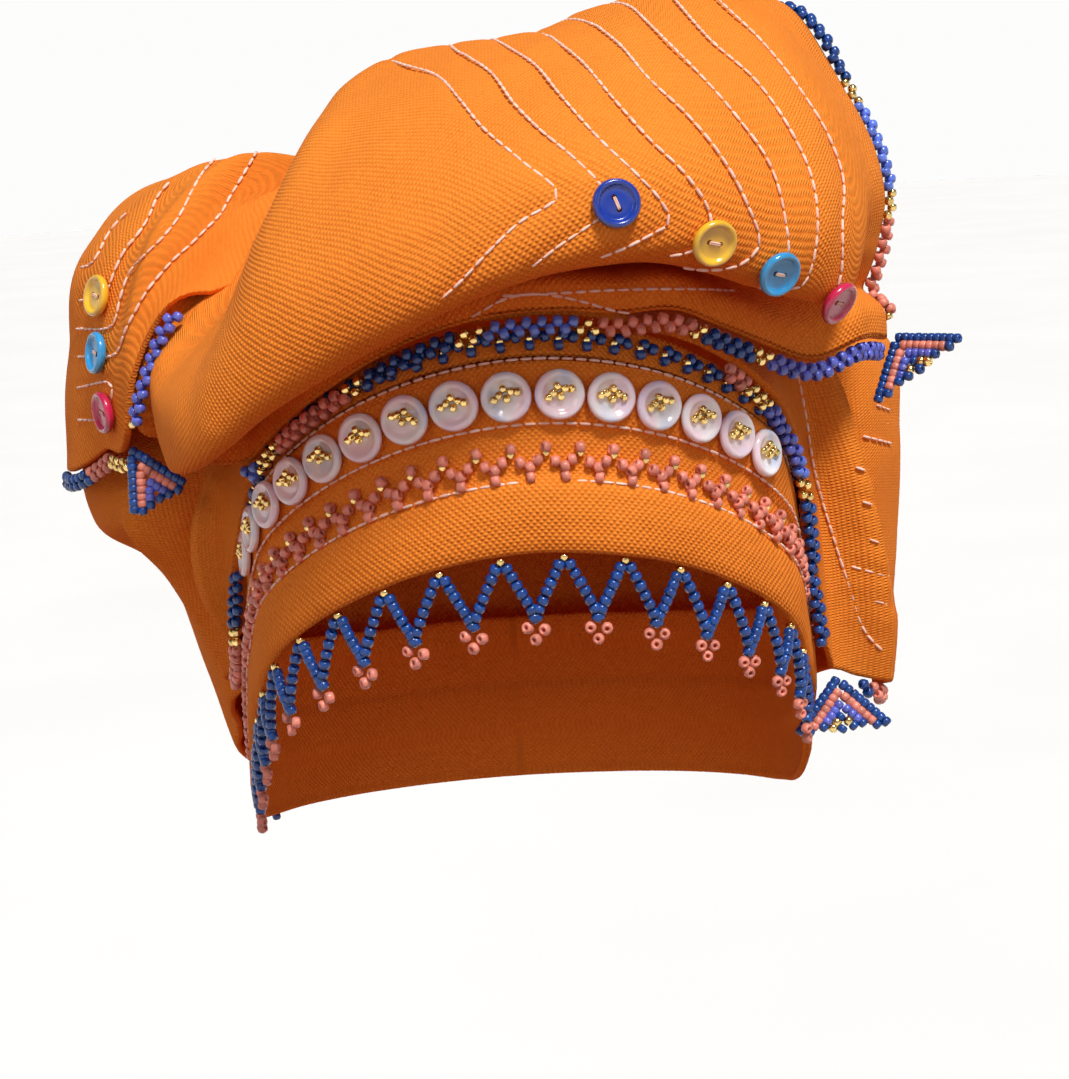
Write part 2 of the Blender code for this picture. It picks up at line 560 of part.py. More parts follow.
def pearl_buttons():
    turns, diameter = pearl_row()
    for number, turn in enumerate(turns, 1):
        low, high = band_point(turn, PEARL_LEVEL - 0.08), band_point(turn, PEARL_LEVEL + 0.08)
        side = band_point(turn + 1, PEARL_LEVEL) - band_point(turn - 1, PEARL_LEVEL)
        facing = np.cross(side, high - low)
        facing = facing / np.linalg.norm(facing)
        place = band_point(turn, PEARL_LEVEL) + facing * CLEAR
        profile = button_profile(diameter, PEARL_THICK)
        turned("pearl_button_%02d" % number, "pearl", profile, BUTTON_SIDES, place, facing, 0.15)


def wing_buttons():
    for cloth, colour, aim, place in WING_BUTTONS:
        face = roll_point if cloth == "roll" else wing_point
        facing = face_normal(face, aim, place)
        seat = face(aim, place) + facing * (CLOTH / 2 + CLEAR)
        profile = button_profile(BUTTON_DIAMETER, BUTTON_THICK)
        turned("%s_button_%s" % (cloth, colour), colour, profile, BUTTON_SIDES, seat, facing)


def edge_line(edge, inner):
    """Centre line of a bead rope: it runs beside a sheet's edge, clear of the edge's corners."""
    edge, inner = np.array(edge), np.array(inner)
    along = np.gradient(edge, axis=0)
    along /= np.linalg.norm(along, axis=1, keepdims=True)
    away = edge - inner
    away -= along * np.sum(away * along, axis=1, keepdims=True)
    away /= np.linalg.norm(away, axis=1, keepdims=True)
    return list(edge + away * (ROPE_RADIUS + CLEAR + CLOTH * 0.2))


def rope(name, colour, line):
    """Seed-bead rope along a cloth edge, as a round tube."""
    curve = bpy.data.curves.new(name, "CURVE")
    curve.dimensions = "3D"
    curve.bevel_depth = ROPE_RADIUS
    curve.bevel_resolution = 2
    curve.use_fill_caps = True
    strand = curve.splines.new("POLY")
    strand.points.add(len(line) - 1)
    for point, place in zip(strand.points, line):
        point.co = (*place, 1.0)
    curve.materials.append(material(colour, 0.4))
    made = bpy.data.objects.new(name, curve)
    bpy.context.scene.collection.objects.link(made)


def along_hem(face, start, stop, count, seated):
    """Rope line under a hem, at the hem's own distance from the band or in the cloth's face."""
    edge, inner = [], []
    for aim in np.linspace(start, stop, count):
        edge.append(face(aim, 0.0))
        outward = face_normal(face, aim, 0.03)
        if seated:
            outward = np.append(plan_outward(band_turn(aim)), 0.0)
        ahead = face(aim + 0.5, 0.0) - face(aim - 0.5, 0.0)
        inner.append(edge[-1] + np.cross(outward, ahead) * 3)
    return edge_line(edge, inner)


def along_side(face, aim, inward, start, stop, count):
    places = np.linspace(start, stop, count)
    return edge_line([face(aim, place) for place in places], [face(aim + inward, place) for place in places])


def bead_ropes():
    rope("roll_edge_beads", "navy", along_hem(roll_point, 48.0, -36.0, 30, True))
    rope("left_edge_beads", "navy", along_hem(wrap_point, -45.2, -60.0, 12, True))
    rope("second_edge_beads", "periwinkle", along_hem(wrap_point, 23.0, 44.0, 14, True))
    rope("panel_hem_beads", "navy", along_hem(wrap_point, 51.0, 74.0, 10, True))
    rope("wing_edge_beads", "periwinkle", along_side(roll_point, 49.0, -2.0, 0.03, 0.84, 22))
    rope("side_wing_edge_beads", "periwinkle", along_hem(wing_point, -48.2, -51.2, 6, False))
    rope("side_wing_hem_beads", "salmon", along_hem(wing_point, -54.0, -78.0, 10, False))


def fringe_turns():
    """Turns of the fringe's tops and tips, half a pitch apart along the rim."""
    fine = np.linspace(band_turn(FRINGE_AIMS[0]), band_turn(FRINGE_AIMS[1]), 600)
    line = np.array([band_point(turn, 0.0) for turn in fine])
    run = np.concatenate(([0.0], np.cumsum(np.linalg.norm(np.diff(line, axis=0), axis=1))))
    halves = int(run[-1] / (FRINGE_PITCH / 2))
    halves -= halves % 2
    return [float(np.interp(k * FRINGE_PITCH / 2, run, fine)) for k in range(halves + 1)]


def bead_fringe():
    """Zigzag of seed beads under the rim, one strip: legs between tops and tips."""
    turns = fringe_turns()
    leg = FRINGE_DROP * 0.40
    stations = []
    for number, turn in enumerate(turns):
        ahead = (turns[min(number + 1, len(turns) - 1)] - turns[max(number - 1, 0)]) / 2
        if number % 2:
            for shift in (-0.16, 0.16):
                low = FRINGE_DROP + FRINGE_TIP
                stations.append((turn + shift * ahead, FRINGE_DROP - leg, low))
        else:
            stations.append((turn, 0.0, leg))
    points, faces = [], []
    for turn, high, low in stations:
        rim = band_point(turn, 0.0, -CLOTH / 2)
        out = plan_outward(turn) * FRINGE_THICK / 2
        for side, drop in ((1, high), (1, low), (-1, low), (-1, high)):
            points.append(rim + np.array([out[0] * side, out[1] * side, -drop - 2 * CLEAR]))
    for k in range(len(stations) - 1):
        here, there = range(4 * k, 4 * k + 4), range(4 * k + 4, 4 * k + 8)
        faces += quads_between(list(here), list(there), True)
    faces += [(0, 1, 2, 3), tuple(range(len(points) - 4, len(points)))]
    add_object("bead_fringe", "navy", points, faces, 0.4, smooth=False)


def tab(name, apex, first, second):
    """Woven bead triangle: equal legs from the apex along the two given directions."""
    first = first / np.linalg.norm(first)
    second = second / np.linalg.norm(second)
    facing = np.cross(first, second)
    facing = facing / np.linalg.norm(facing) * TAB_THICK / 2
    corners = (apex, apex + first * TAB_LEG, apex + second * TAB_LEG)
    points = [corner + facing * side for side in (1, -1) for corner in corners]
    faces = [(0, 1, 2), (5, 4, 3), (0, 3, 4, 1), (1, 4, 5, 2), (2, 5, 3, 0)]
    add_object(name, "navy", points, faces, 0.4, smooth=False)


def corner_tabs():
    gap = ROPE_RADIUS + 3 * CLEAR
    corner = roll_point(49.0, 0.0)
    tab("wing_tab", corner + np.array([0.0035, 0.002, 0.0010]), np.array([0.75, -0.66, 0.0]),
        np.array([-0.40, -0.35, -0.90]))
    corner = wing_point(-52.0, 0.0)
    tab("side_wing_tab", corner + np.array([-0.001, 0.0016, -0.0024]), np.array([0.80, -0.20, -0.55]),
        np.array([-0.02, -0.15, -0.98]))
    corner = wrap_point(47.0, 0.0)
    tab("panel_tab", corner + np.array([0.0, 0.0, -CLEAR - CLOTH / 4]), np.array([-0.65, -0.30, -0.72]),
        np.array([0.68, -0.30, -0.64]))
    corner = wrap_point(-109.0, 0.0)
    tab("nape_tab", corner + np.array([-0.002, 0.006, 0.006 - gap]), np.array([0.1, 0.6, -0.8]),
        np.array([0.1, -0.6, -0.8]))


def build():
    clear_scene()
    headband()
    wound_cloth()
    front_roll()
    side_wing()
    pearl_buttons()
    wing_buttons()
    bead_ropes()
    bead_fringe()
    corner_tabs()


build()
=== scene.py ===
"""Looks of the beaded head wrap: fine canvas, seed beads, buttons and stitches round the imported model."""
import math
import random

import bmesh
import bpy
import numpy as np
from mathutils import Matrix, Vector, noise
from mathutils.bvhtree import BVHTree
from mathutils.kdtree import KDTree


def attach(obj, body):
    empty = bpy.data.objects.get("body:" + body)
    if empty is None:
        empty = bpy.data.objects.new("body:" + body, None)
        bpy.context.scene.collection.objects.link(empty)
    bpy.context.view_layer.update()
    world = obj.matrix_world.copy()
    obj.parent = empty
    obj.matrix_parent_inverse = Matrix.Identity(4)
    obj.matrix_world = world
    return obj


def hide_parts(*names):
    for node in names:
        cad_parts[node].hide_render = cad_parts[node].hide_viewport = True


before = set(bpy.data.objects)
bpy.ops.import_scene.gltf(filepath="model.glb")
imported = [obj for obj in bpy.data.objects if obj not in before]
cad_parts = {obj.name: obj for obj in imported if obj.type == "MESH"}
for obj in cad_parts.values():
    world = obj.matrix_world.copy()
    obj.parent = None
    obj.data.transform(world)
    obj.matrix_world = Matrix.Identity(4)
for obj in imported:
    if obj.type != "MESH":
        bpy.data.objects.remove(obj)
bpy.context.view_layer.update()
UP = np.array([0.0, 0.0, 1.0])

# Headband: outside of the cloth round the brow, measured from the head's upright axis
BAND_HALF_LENGTH = 0.0950
BAND_HALF_WIDTH = 0.0750
BAND_HEIGHT = 0.0510
BROW_DROP = 0.0510
NAPE_DROP = 0.1550

# Cloth: a doubled canvas wall, and the clearance that keeps two pieces apart
CLOTH = 0.0020
CLEAR = 0.0004
PLEAT_RISE = 0.0014

# Wound cloth: all sections are drawn round a gathering axis behind the crown
GATHER_BACK = 0.0350
ROLL_RISE = 0.0800
FOLD_DEPTH = 0.0100

# Trims
ROPE_RADIUS = 0.0022
PEARL_THICK = 0.0022
PEARL_GAP = 0.00027
PEARL_AIMS = (-39.14, 27.50)
PEARL_COUNT = 15
PEARL_LEVEL = 0.69
BUTTON_DIAMETER = 0.0104
BUTTON_THICK = 0.0024
FRINGE_PITCH = 0.0145
FRINGE_DROP = 0.0150
FRINGE_AIMS = (-60.28, 45.44)
TAB_LEG = 0.0170

# Plan of the band: share of the half width and of the half length at each turn from the brow
PLAN = (
    # turn, across, along
    (0, 0.000, 1.000),
    (15, 0.325, 0.957),
    (30, 0.613, 0.839),
    (45, 0.832, 0.657),
    (60, 0.924, 0.421),
    (75, 0.964, 0.204),
    (90, 0.987, 0.000),
    (105, 1.000, -0.211),
    (120, 0.979, -0.446),
    (135, 0.857, -0.677),
    (150, 0.629, -0.861),
    (165, 0.328, -0.967),
    (180, 0.000, -1.000),
)

# Rim of the band: share of the way from the brow's height down to the nape's
RIM = (
    # turn, drop
    (0, 0.000),
    (15, 0.033),
    (30, 0.124),
    (45, 0.263),
    (60, 0.443),
    (75, 0.610),
    (90, 0.766),
    (105, 0.865),
    (120, 0.923),
    (135, 0.960),
    (150, 0.985),
    (165, 0.997),
    (180, 1.000),
)

# Section of the band from the rim up: plain brow strip, bead channel, button strip, bead row
BAND_SECTION = (
    # height, taper, rise in pleat rises
    (0.0, 1.000, 0.2),
    (0.05, 1.000, 0.9),
    (0.17, 0.997, 1.1),
    (0.28, 0.992, 0.9),
    (0.34, 0.989, 0.0),
    (0.54, 0.981, 0.0),
    (0.59, 0.978, 0.9),
    (0.79, 0.966, 1.0),
    (0.86, 0.960, 0.0),
    (1.0, 0.950, 0.0),
)

# Wound cloth over head and nape. The hem has its level in band heights and its stand off the
# band in roll rises. Reach: share of the band's reach from the gathering axis. Up: share of
# the way from the rim to the crown.
WRAP = (
    # aim, hem level, hem stand, low reach, low up, belly reach, belly up, upper reach, upper up,
    # shoulder reach, shoulder up
    (-180, 0.14, 0.02, 1.25, 0.25, 1.33, 0.5, 1.23, 0.79, 0.8, 0.97),
    (-150, 0.14, 0.02, 1.24, 0.24, 1.33, 0.5, 1.22, 0.8, 0.78, 0.97),
    (-120, 0.16, 0.02, 1.24, 0.26, 1.32, 0.53, 1.24, 0.81, 0.78, 0.98),
    (-105, 0.24, 0.02, 1.25, 0.38, 1.42, 0.62, 1.33, 0.85, 0.83, 0.99),
    (-90, 0.4, 0.02, 1.24, 0.46, 1.46, 0.63, 1.38, 0.86, 0.84, 1.01),
    (-75, 0.6, 0.02, 1.22, 0.5, 1.46, 0.62, 1.4, 0.8, 0.82, 1.01),
    (-62, 0.66, 0.01, 1.15, 0.48, 1.3, 0.62, 1.19, 0.8, 0.77, 1.02),
    (-55, 0.58, 0.0, 1.1, 0.43, 1.15, 0.62, 1.01, 0.81, 0.73, 1.02),
    (-50, 0.62, 0.0, 1.07, 0.44, 1.06, 0.6, 0.92, 0.8, 0.7, 1.02),
    (-46.5, 0.74, 0.0, 1.02, 0.52, 0.99, 0.66, 0.88, 0.81, 0.66, 1.02),
    (-43, 0.98, 0.0, 0.99, 0.57, 0.95, 0.69, 0.86, 0.83, 0.65, 1.02),
    (-39, 1.02, -0.02, 0.96, 0.6, 0.92, 0.71, 0.85, 0.86, 0.63, 1.02),
    (-35, 1.05, -0.05, 0.92, 0.64, 0.87, 0.73, 0.79, 0.87, 0.6, 1.01),
    (-31, 1.05, -0.05, 0.9, 0.7, 0.85, 0.78, 0.77, 0.89, 0.57, 1.01),
    (-15, 1.05, -0.05, 0.87, 0.95, 0.78, 0.98, 0.68, 1.0, 0.52, 1.02),
    (0, 1.05, -0.05, 0.86, 1.03, 0.77, 1.03, 0.66, 1.03, 0.51, 1.03),
    (8, 1.05, -0.05, 0.86, 1.0, 0.77, 1.02, 0.66, 1.03, 0.52, 1.03),
    (14, 1.05, -0.03, 0.87, 0.94, 0.78, 0.98, 0.68, 1.01, 0.52, 1.03),
    (20, 1.05, 0.0, 0.9, 0.89, 0.84, 0.94, 0.76, 0.98, 0.55, 1.02),
    (28, 1.03, 0.0, 0.94, 0.81, 0.89, 0.88, 0.83, 0.95, 0.59, 1.02),
    (33, 1.0, 0.0, 0.96, 0.74, 0.92, 0.83, 0.86, 0.93, 0.61, 1.02),
    (37, 0.9, 0.0, 0.99, 0.62, 0.97, 0.75, 0.92, 0.9, 0.64, 1.02),
    (41, 0.62, 0.0, 1.02, 0.5, 1.01, 0.68, 0.96, 0.89, 0.68, 1.02),
    (45, 0.13, 0.0, 1.05, 0.34, 1.05, 0.6, 1.01, 0.86, 0.71, 1.02),
    (48, 0.16, 0.04, 1.09, 0.34, 1.09, 0.6, 1.04, 0.86, 0.73, 1.02),
    (54, 0.26, 0.13, 1.17, 0.36, 1.15, 0.61, 1.09, 0.87, 0.78, 1.02),
    (64, 0.44, 0.21, 1.26, 0.42, 1.28, 0.67, 1.22, 0.88, 0.85, 1.02),
    (76, 0.54, 0.26, 1.36, 0.45, 1.38, 0.69, 1.33, 0.88, 0.91, 1.01),
    (90, 0.62, 0.2, 1.33, 0.46, 1.37, 0.7, 1.31, 0.88, 0.88, 1.01),
    (105, 0.52, 0.1, 1.27, 0.35, 1.36, 0.62, 1.27, 0.85, 0.83, 0.99),
    (120, 0.28, 0.04, 1.24, 0.26, 1.32, 0.53, 1.24, 0.81, 0.78, 0.98),
    (150, 0.16, 0.02, 1.24, 0.24, 1.33, 0.5, 1.22, 0.8, 0.78, 0.97),
    (180, 0.14, 0.02, 1.25, 0.25, 1.33, 0.5, 1.23, 0.79, 0.8, 0.97),
)
WRAP_KNOTS = (0.0, 0.2, 0.42, 0.64, 0.84, 1.0)

# Hanging folds of the wound cloth: aim at the top and at the hem, half width in degrees,
# rise in fold depths, and the stretch of the section that each fold takes
WRAP_FOLDS = (
    # top aim, hem aim, half width, rise, from, to
    (39, 54, 3.2, 0.75, -0.1, 0.66),
    (44, 60, 4.5, -0.8, 0.12, 0.8),
    (86, 92, 6.0, -0.35, -0.1, 0.6),
    (-47, -52, 1.7, 0.3, 0.0, 0.6),
    (-53, -57, 2.2, -0.45, 0.0, 0.6),
    (-59, -63, 2.2, 0.3, -0.05, 0.6),
    (-66, -68, 2.6, -0.4, -0.05, 0.4),
    (-98, -104, 6.0, -0.4, -0.05, 0.55),
    (-128, -134, 7.0, 0.35, -0.05, 0.7),
    (-152, -150, 7.0, -0.4, -0.05, 0.7),
    (160, 156, 7.0, 0.35, -0.05, 0.7),
    (128, 126, 7.0, -0.4, -0.05, 0.7),
)

# Front roll and its wing: foot as the hem above, reach as above, and rise over the band's
# top edge in roll rises. Tuck and gully are the two sides of the dark fold under the lip.
ROLL = (
    # aim, foot level, foot stand, tuck reach, tuck rise, gully reach, gully rise, lip reach, lip rise,
    # bulge reach, bulge rise, crest reach, crest rise, top reach, top rise, fall reach, fall rise, back reach
    (-55, 1.78, 0.12, 1.05, 0.76, 1.09, 0.8, 1.19, 0.6,
     1.22, 0.74, 1.14, 0.91, 0.91, 1.06, 0.66, 1.0, 0.44),
    (-51, 1.6, 0.08, 0.97, 0.62, 1.03, 0.67, 1.16, 0.43,
     1.2, 0.59, 1.12, 0.78, 0.88, 0.97, 0.6, 0.9, 0.44),
    (-46, 1.38, 0.06, 0.94, 0.52, 1.01, 0.59, 1.17, 0.27,
     1.22, 0.47, 1.07, 0.7, 0.81, 0.92, 0.56, 0.86, 0.41),
    (-42, 1.26, 0.09, 0.93, 0.42, 0.99, 0.5, 1.19, 0.16,
     1.22, 0.35, 1.0, 0.63, 0.74, 0.91, 0.5, 0.84, 0.37),
    (-38, 1.12, 0.06, 0.91, 0.34, 0.96, 0.44, 1.21, 0.08,
     1.22, 0.26, 0.95, 0.57, 0.69, 0.91, 0.45, 0.83, 0.33),
    (-34.5, 1.01, 0.01, 0.88, 0.28, 0.92, 0.39, 1.21, 0.01,
     1.22, 0.19, 0.92, 0.55, 0.65, 0.92, 0.41, 0.8, 0.29),
    (-31, 0.99, 0.0, 0.85, 0.25, 0.87, 0.36, 1.22, -0.03,
     1.23, 0.14, 0.9, 0.57, 0.61, 0.93, 0.38, 0.75, 0.26),
    (-27, 0.98, 0.0, 0.82, 0.23, 0.83, 0.34, 1.23, -0.04,
     1.25, 0.15, 0.92, 0.65, 0.57, 0.92, 0.37, 0.71, 0.23),
    (-23, 0.98, 0.0, 0.79, 0.21, 0.79, 0.32, 1.22, -0.02,
     1.25, 0.2, 0.98, 0.67, 0.54, 0.88, 0.36, 0.64, 0.23),
    (-16, 1.0, 0.0, 0.77, 0.18, 0.77, 0.29, 1.19, 0.02,
     1.23, 0.23, 0.96, 0.65, 0.51, 0.83, 0.34, 0.58, 0.22),
    (-8, 1.03, 0.0, 0.77, 0.15, 0.76, 0.26, 1.18, 0.09,
     1.2, 0.29, 0.94, 0.64, 0.48, 0.78, 0.33, 0.54, 0.22),
    (3, 1.05, 0.0, 0.77, 0.14, 0.76, 0.25, 1.16, 0.18,
     1.18, 0.37, 0.94, 0.66, 0.49, 0.77, 0.33, 0.54, 0.22),
    (10, 1.07, 0.01, 0.78, 0.18, 0.78, 0.28, 1.16, 0.21,
     1.19, 0.4, 0.96, 0.71, 0.51, 0.82, 0.34, 0.6, 0.22),
    (15, 1.14, 0.04, 0.82, 0.22, 0.82, 0.31, 1.16, 0.22,
     1.2, 0.41, 0.99, 0.76, 0.54, 0.9, 0.35, 0.66, 0.22),
    (21, 1.15, 0.05, 0.89, 0.26, 0.9, 0.34, 1.17, 0.23,
     1.2, 0.42, 1.02, 0.81, 0.57, 1.0, 0.36, 0.74, 0.22),
    (26, 1.18, 0.06, 0.96, 0.29, 0.99, 0.37, 1.17, 0.26,
     1.21, 0.45, 1.04, 0.87, 0.61, 1.1, 0.38, 0.84, 0.23),
    (33, 1.28, 0.11, 1.02, 0.39, 1.05, 0.47, 1.17, 0.34,
     1.2, 0.55, 1.05, 1.0, 0.66, 1.25, 0.41, 0.97, 0.24),
    (40, 1.6, 0.2, 1.11, 0.54, 1.14, 0.59, 1.19, 0.65,
     1.22, 0.81, 1.09, 1.15, 0.76, 1.43, 0.45, 1.15, 0.26),
    (49, 1.88, 0.26, 1.2, 0.7, 1.22, 0.75, 1.25, 0.85,
     1.27, 0.98, 1.18, 1.26, 0.91, 1.57, 0.53, 1.35, 0.3),
)
ROLL_KNOTS = (0.0, 0.04, 0.14, 0.19, 0.33, 0.43, 0.60, 0.78, 0.90, 1.0)
FOOT_RISE = 0.11

# Side wing, a corner of the cloth laid over the left end of the roll. Columns: hem, front,
# brow, top, fall, and the reach of the back edge on the crown.
SIDE_WING = (
    # aim, hem reach, hem rise, front reach, front rise, brow reach, brow rise, top reach,
    # top rise, fall reach, fall rise, back reach
    (-105, 1.49, 0.83, 1.47, 1.11, 1.36, 1.39, 1.04, 1.54, 0.66, 1.48, 0.44),
    (-90, 1.53, 0.72, 1.5, 1.04, 1.39, 1.37, 1.07, 1.54, 0.67, 1.47, 0.42),
    (-76, 1.55, 0.62, 1.51, 0.97, 1.41, 1.33, 1.11, 1.52, 0.65, 1.42, 0.38),
    (-68, 1.5, 0.57, 1.47, 0.9, 1.4, 1.23, 1.07, 1.47, 0.62, 1.36, 0.39),
    (-60, 1.39, 0.54, 1.39, 0.84, 1.31, 1.16, 0.99, 1.39, 0.59, 1.26, 0.37),
    (-52, 1.31, 0.46, 1.3, 0.76, 1.17, 1.06, 0.87, 1.26, 0.56, 1.14, 0.36),
    (-49, 1.28, 0.58, 1.25, 0.81, 1.12, 1.04, 0.83, 1.21, 0.55, 1.1, 0.36),
    (-46, 1.24, 0.7, 1.17, 0.84, 1.04, 1.0, 0.79, 1.14, 0.53, 1.06, 0.35),
    (-42, 1.13, 0.7, 1.07, 0.8, 0.97, 0.93, 0.77, 1.07, 0.5, 1.0, 0.34),
)
WING_KNOTS = (0.0, 0.24, 0.48, 0.70, 0.88, 1.0)

# Where the side wing lies on the roll: the aims between which it settles, its distance from
# the roll's mid face, and the stretch of the roll's section that it covers
LAID_AIMS = (-50.0, -44.0)
LAY = CLOTH + 4 * CLEAR
LAID_FROM = (0.61, 0.70)
LAID_TO = 1.0
LAID_SWELL = 0.006

# Buttons of the wings: cloth, colour, aim, and place along the section from the hem
WING_BUTTONS = (
    # cloth, colour, aim, place
    ("roll", "navy", 7.0, 0.405),
    ("roll", "yellow", 15.0, 0.375),
    ("roll", "sky", 21.5, 0.36),
    ("roll", "rose", 30.0, 0.345),
    ("wing", "yellow", -58.0, 0.36),
    ("wing", "sky", -57.0, 0.235),
    ("wing", "rose", -56.0, 0.10),
)

# Side wing: its last aim, and the low swell where it lies in the valley beside the roll's bulge
WING_END = -33.0
SWELL_AIM, SWELL_WIDTH = -41.0, 4.5

# Where the roll's left end is let out to the side wing: aim at which it starts, degrees until it is whole,
# and the stretch of the roll's section
MET_AIM, MET_WIDTH = -46.5, 5.0
MET_FROM, MET_TO = 0.19, 0.80

# Where the side wing's far edge is let into the roll, and how deep in wall thicknesses
SINK_AIM, SINK_WIDTH = -47.0, 7.5
SINK_DEPTH = 0.75

# Seen folds of the wound cloth: between which hem aims, how much narrower, and how much higher
SHARP_AIMS = (-70, 62)
SHARP_WIDTH, SHARP_RISE = 0.75, 0.7

# Lean of the wound cloth's grid lines in degrees at the hem, by aim
LEAN_AIMS = (-84, -66, -59, -47, -36, 16, 38, 46, 84)
LEANS = (0, -2, -4, -5, 0, 0, 15, 16, 0)

# Sewn lines: pixels between samples, largest step on the cloth, and how a line goes on behind the crest
LINE_SAMPLE, LINE_JUMP = 2.5, 0.012
CARRY_STEP, CARRY_END = 0.006, 0.93
CARRY_SLANT, CARRY_FADE = 160.0, 0.07

# Creases: heights of the broad and the fine ones, and how many a metre
BROAD_HEIGHT, FINE_HEIGHT = 0.0011, 0.00032
BROAD_RATE, FINE_RATES = 38.0, (90.0, 90.0, 55.0)

# Share of the wall's thickness in the first two rows of a free edge
EDGE_SHARES = (0.42, 0.86)

# Camera of the photograph, in metres and degrees
PHOTO_WIDE, PHOTO_HIGH = 1069, 1079
CAMERA_YAW, CAMERA_RISE, CAMERA_ROLL = -3.0, 10.0, -3.34
CAMERA_DISTANCE, CAMERA_FOCUS = 0.6257, 2372.6
CAMERA_AIM = (0.0044, 0.0, 0.0122 - 0.077)
SENSOR = 36.0

# Bead rope under a hem: degrees between the aims that give its direction
HEM_STEP = 0.5

# Seed beads: radius, length along the hole, and spacing of the beads in an edge rope
BEAD_RADIUS = 0.00138
BEAD_LONG = 0.0021
ROPE_STEP = 0.00172
ROPE_SPREAD = 0.00090
ROPE_LEAN = 0.28
TAB_ROW = 0.00205
TAB_STEP = 0.00175

# Thread: spacing, length and radius of the stitches, and how a seam pulls the cloth in
STITCH_STEP = 0.0031
STITCH_LONG = 0.0027
STITCH_RADIUS = 0.00034
SEAM_DEPTH = 0.00055
SEAM_WIDTH = 0.0016

# Colours of the edge ropes, each up to the photo pixel named in its row
ROPE_COLOURS = {
    # colour, until x, until y
    "roll_edge_beads": (("gold", 880, 350), ("periwinkle", 765, 372), ("gold", 748, 376), ("navy", 700, 347),
                        ("gold", 690, 343), ("salmon", 602, 326), ("gold", 579, 328), ("sky", 484, 328),
                        ("gold", 455, 342), ("navy", 362, 382), ("gold", 341, 392), ("salmon", 283, 450),
                        ("gold", 262, 474), ("sky", 225, 540), ("gold", 227, 560), ("navy", 232, 625)),
    "left_edge_beads": (("sky", 225, 540), ("gold", 227, 562), ("navy", 237, 625), ("gold", 241, 645),
                        ("salmon", 246, 690)),
    "second_edge_beads": (("gold", 666, 351), ("salmon", 746, 392), ("gold", 763, 412),
                          ("periwinkle", 792, 462), ("sky", 797, 478), ("gold", 801, 504),
                          ("navy", 812, 562)),
    "panel_hem_beads": (("navy", 872, 682), ("gold", 877, 668), ("salmon", 890, 660)),
    "wing_edge_beads": (("gold", 890, 312), ("salmon", 890, 218), ("gold", 888, 192), ("sky", 864, 100),
                        ("gold", 848, 76), ("navy", 800, 0)),
    "side_wing_edge_beads": (("periwinkle", 130, 424), ("gold", 128, 436)),
    "side_wing_hem_beads": (("gold", 106, 455), ("salmon", 86, 470), ("navy", 74, 474)),
}

# Beads sewn in the two channels of the band. Along: millimetres from the unit's start. Up: share
# of the band's height above the rim
PINK_PERIOD = 0.0077
PINK_UNIT = (
    # colour, along, up
    ("salmon", 1.5, 0.400),
    ("salmon", 5.3, 0.408),
    ("salmon", 3.5, 0.378),
    ("salmon", 3.6, 0.335),
    ("salmon", 7.3, 0.462),
    ("gold", 7.2, 0.438),
)
BLUE_PERIOD = 0.0064
BLUE_UNIT = (
    # colour, along, up
    ("navy", 1.5, 0.905),
    ("gold", 1.5, 0.932),
    ("navy", 2.8, 0.952),
    ("navy", 4.9, 0.940),
)

# Sewn lines of the right wing, as photo pixels along each line
ROLL_LINES = {
    "line_1": ((400, 64), (440, 78), (460, 100), (480, 125), (520, 160), (558, 196), (520, 222), (490, 250),
               (460, 282), (440, 300)),
    "line_2": ((465, 55), (490, 72), (515, 105), (540, 130), (570, 155), (600, 185), (612, 208), (590, 225),
               (560, 245), (530, 268)),
    "line_3": ((506, 46), (535, 65), (560, 95), (600, 140), (640, 178), (660, 200), (670, 222), (650, 235),
               (620, 250), (598, 258)),
    "line_4": ((551, 37), (580, 60), (610, 95), (650, 140), (690, 180), (710, 215), (708, 243), (690, 252),
               (668, 256)),
    "line_5": ((597, 26), (620, 45), (645, 75), (690, 118), (720, 155), (745, 200), (757, 250), (745, 262),
               (710, 270), (680, 267)),
    "line_6": ((635, 10), (665, 40), (700, 75), (735, 115), (770, 165), (785, 220), (787, 258), (778, 278),
               (755, 290)),
    "line_7": ((675, 0), (710, 40), (755, 80), (790, 130), (812, 180), (810, 270), (805, 283), (780, 291),
               (740, 312)),
    "line_8": ((718, 0), (760, 40), (800, 90), (830, 140), (843, 180), (842, 220), (838, 285), (831, 303),
               (805, 309), (770, 319), (735, 338)),
}

# Sewn lines on the dark fold under the roll's lip
FOLD_LINES = {
    "fold_1": ((500, 296), (560, 293), (620, 290), (680, 289), (735, 291)),
    "fold_2": ((690, 331), (675, 314), (655, 315), (620, 312), (580, 301), (540, 294), (510, 297),
               (470, 318)),
}

# Sewn lines of the side wing
WING_LINES = {
    "side_1": ((128, 212), (115, 225), (105, 240), (98, 255), (90, 265), (79, 268)),
    "side_2": ((170, 182), (158, 196), (150, 215), (140, 232), (125, 250), (116, 268), (103, 296), (78, 301)),
    "side_3": ((215, 159), (205, 170), (190, 195), (180, 215), (165, 235), (145, 255), (130, 272), (120, 300),
               (113, 325), (76, 329)),
    "side_4": ((257, 151), (240, 180), (228, 200), (222, 212), (205, 230), (190, 245), (175, 258), (158, 277),
               (146, 292), (136, 310), (125, 332), (118, 352), (76, 357)),
    "side_5": ((112, 400), (112, 385), (76, 388)),
    "side_6": ((108, 420), (76, 420)),
}

# Short lines beside the roll's left bulge, which don't go on behind the crest
CREASE_LINES = {
    "roll_5": ((277, 157), (269, 170), (262, 186)),
    "roll_6": ((281, 136), (288, 145)),
}

